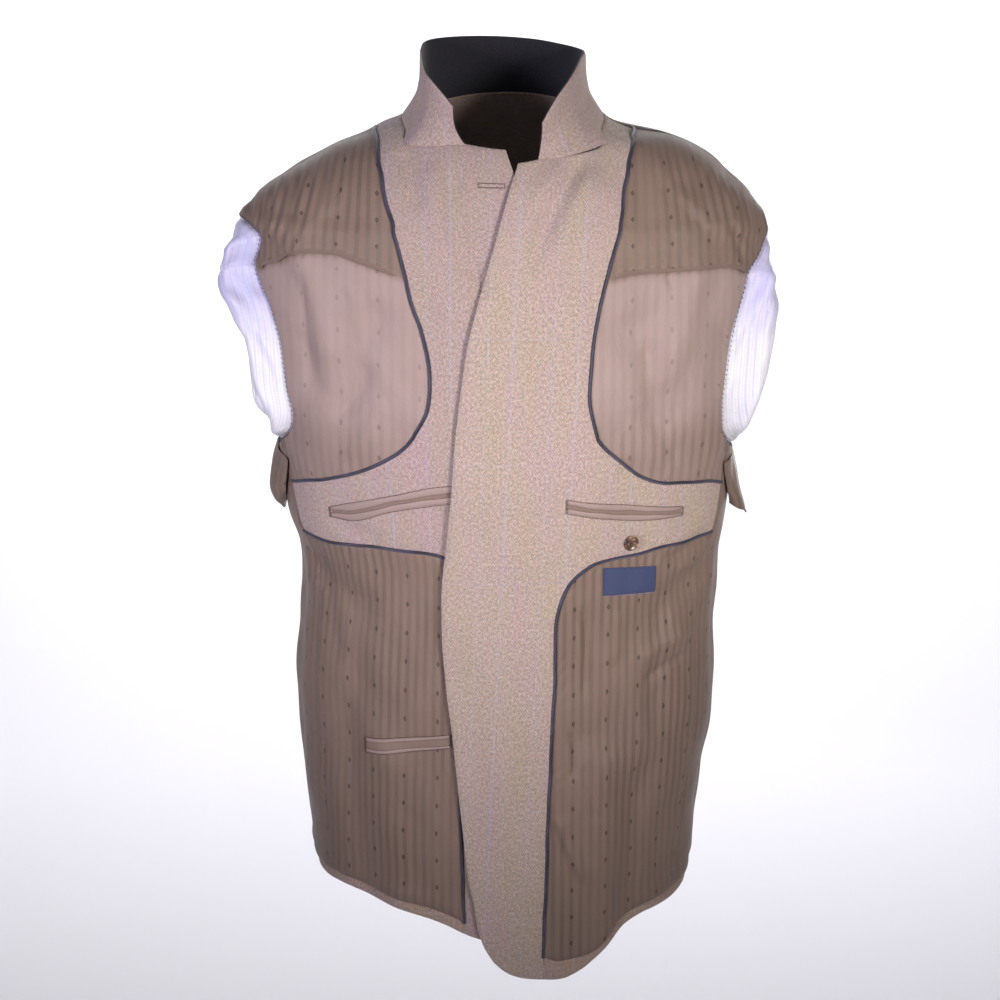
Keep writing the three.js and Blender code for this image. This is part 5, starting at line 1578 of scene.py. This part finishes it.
def lathe(profile_points, segments):
    """A turned mesh about Z from radii and heights in millimetres."""
    work = bmesh.new()
    rings = []
    for radius, height in profile_points:
        angles = [2 * math.pi * k / segments for k in range(segments)]
        around = [Vector((radius * math.cos(angle), radius * math.sin(angle), height)) for angle in angles]
        rings.append([work.verts.new(place * MM) for place in around])
    for low, high in zip(rings, rings[1:]):
        for k in range(segments):
            work.faces.new((low[k], low[(k + 1) % segments], high[(k + 1) % segments], high[k]))
    work.faces.new(rings[0][::-1])
    work.faces.new(rings[-1])
    mesh = bpy.data.meshes.new("lathe")
    work.to_mesh(mesh)
    work.free()
    return mesh


def make_button():
    """A dished button with its thread crossed over it."""
    x = np.array([[float(BUTTON["x"])]])
    z = np.array([[float(BUTTON["z"])]])
    point, normal = front_surface(x, z, "right")
    turned = Vector(normal[0, 0]).to_track_quat("Z", "Y").to_matrix().to_4x4()
    place = Matrix.Translation(Vector(raised(point, normal, [[BUTTON_OUT]])[0, 0]) * MM) @ turned
    section = [(BUTTON["radius"] * share, height) for share, height in BUTTON_SECTION]
    button = add_object("inner_button_horn", lathe(section, 56))
    button.matrix_world = place
    button.data.shade_smooth()
    dress(button, "inner_button", HORN)
    work = bmesh.new()
    for start, end in (((-1.3, -1.3, 0), (1.3, 1.3, 0)), ((-1.3, 1.3, 0), (1.3, -1.3, 0))):
        run = (Vector(end) - Vector(start)).normalized()
        for strand in (-0.35, 0.35):
            beside = Vector((-run.y, run.x, 0)) * strand
            for share in np.linspace(0, 1, 9):
                at = Vector(start).lerp(Vector(end), share) + beside
                at.z = 1.7 + 0.9 * math.sin(math.pi * share)
                bead = Matrix.Translation(at * MM)
                bmesh.ops.create_icosphere(work, subdivisions=1, radius=0.32 * MM, matrix=bead)
    mesh = bpy.data.meshes.new("button_thread")
    work.to_mesh(mesh)
    work.free()
    mesh.shade_smooth()
    stitches = add_object("button_thread", mesh)
    stitches.matrix_world = place
    dress(stitches, None, BROWN_THREAD)


for side, plan in PLANS.items():
    make_shell(side, plan)
    make_facing(side, plan)
    make_linings(side, plan)
    make_piping(side, plan, "chest")
    make_piping(side, plan, "lower")
    make_sleeve(side, plan)
    make_armhole_stitches(side, plan)
    make_shield(side)
    make_pocket(f"inner_pocket_{side}")
    make_pleat(side)
make_pocket("low_pocket_left")
make_collar()
make_label()
make_buttonhole()
make_button()


# Stage, light and camera


def make_stage():
    """A pale floor that sweeps up into a white wall. Its paper is painted greyer and more lavender low down
    and whiter up the wall: painted shade.
    """
    foot, start, bend, half = -1.5, 1.6, 1.4, 6.0
    sweep = [(-4.0, 0.0), (start, 0.0)]
    for k in range(1, 13):
        angle = math.pi / 2 * k / 12
        sweep.append((start + bend * math.sin(angle), bend - bend * math.cos(angle)))
    sweep.append((start + bend, 6.0))
    vertices = [(x, y, z + foot) for y, z in sweep for x in (-half, half)]
    faces = [(2 * k, 2 * k + 1, 2 * k + 3, 2 * k + 2) for k in range(len(sweep) - 1)]
    mesh = bpy.data.meshes.new("floor")
    mesh.from_pydata(vertices, [], faces)
    mesh.shade_smooth()
    floor = add_object("floor", mesh)
    made = Finish("paper", roughness=0.95)
    split = made.node("ShaderNodeSeparateXYZ")
    made.put(made.place(), split.inputs[0])
    # Painted shade: the paper's colour runs from grey lavender at the floor to white up the wall.
    rise = made.fit(split.outputs[2], 0.6, 0.9)
    made.color(made.ramp(
        rise, (0.0, (0.80, 0.79, 0.84)), (0.55, (0.90, 0.90, 0.93)), (1.0, (0.97, 0.97, 0.98))
    ))
    mesh.materials.append(made.material)


def add_light(name, place, target, size, power, color, spread):
    """A soft box that the camera doesn't see. A small spread, in degrees, lets its light fall off."""
    data = bpy.data.lights.new(name, "AREA")
    data.shape = "RECTANGLE"
    data.size, data.size_y = size
    data.energy = power
    data.color = color
    data.spread = math.radians(spread)
    light = add_object(name, data)
    light.visible_camera = False
    light.location = place
    light.rotation_mode = "QUATERNION"
    light.rotation_quaternion = (Vector(target) - Vector(place)).to_track_quat("-Z", "Y")


# In widths of the picture, and in degrees below the horizon
FOCAL_LENGTH = 1.918
CAMERA_TILT = 19.3


def make_camera():
    data = bpy.data.cameras.new("camera")
    data.sensor_width = 36
    data.lens = FOCAL_LENGTH * data.sensor_width
    camera = add_object("camera", data)
    camera.location = (-0.004, -1.8, 0.253)
    camera.rotation_euler = (math.radians(90 - CAMERA_TILT), 0, 0)
    bpy.context.scene.camera = camera


make_stage()
chest = (0, -0.05, -0.255)
add_light("key", (1.05, -1.75, 0.06), chest, (0.55, 0.6), 2.2, (1.0, 0.94, 0.86), 36)
add_light("fill", (-1.25, -1.7, 0.0), chest, (0.55, 0.6), 1.85, (0.94, 0.89, 1.0), 36)
add_light("back", (0.7, 2.3, -0.7), (0, 0.1, -0.4), (1.2, 1.2), 7, (1.0, 0.98, 0.96), 90)
add_light("wall", (0, 1.3, 1.9), (0, 3.0, -0.3), (3.5, 1.5), 75, (1, 1, 1), 120)
world = bpy.data.worlds.new("world")
world.use_nodes = True
world.node_tree.nodes["Background"].inputs[0].default_value = (0.95, 0.95, 1.0, 1)
world.node_tree.nodes["Background"].inputs[1].default_value = 0.24
bpy.context.scene.world = world
bpy.context.scene.view_settings.view_transform = "Standard"
make_camera()
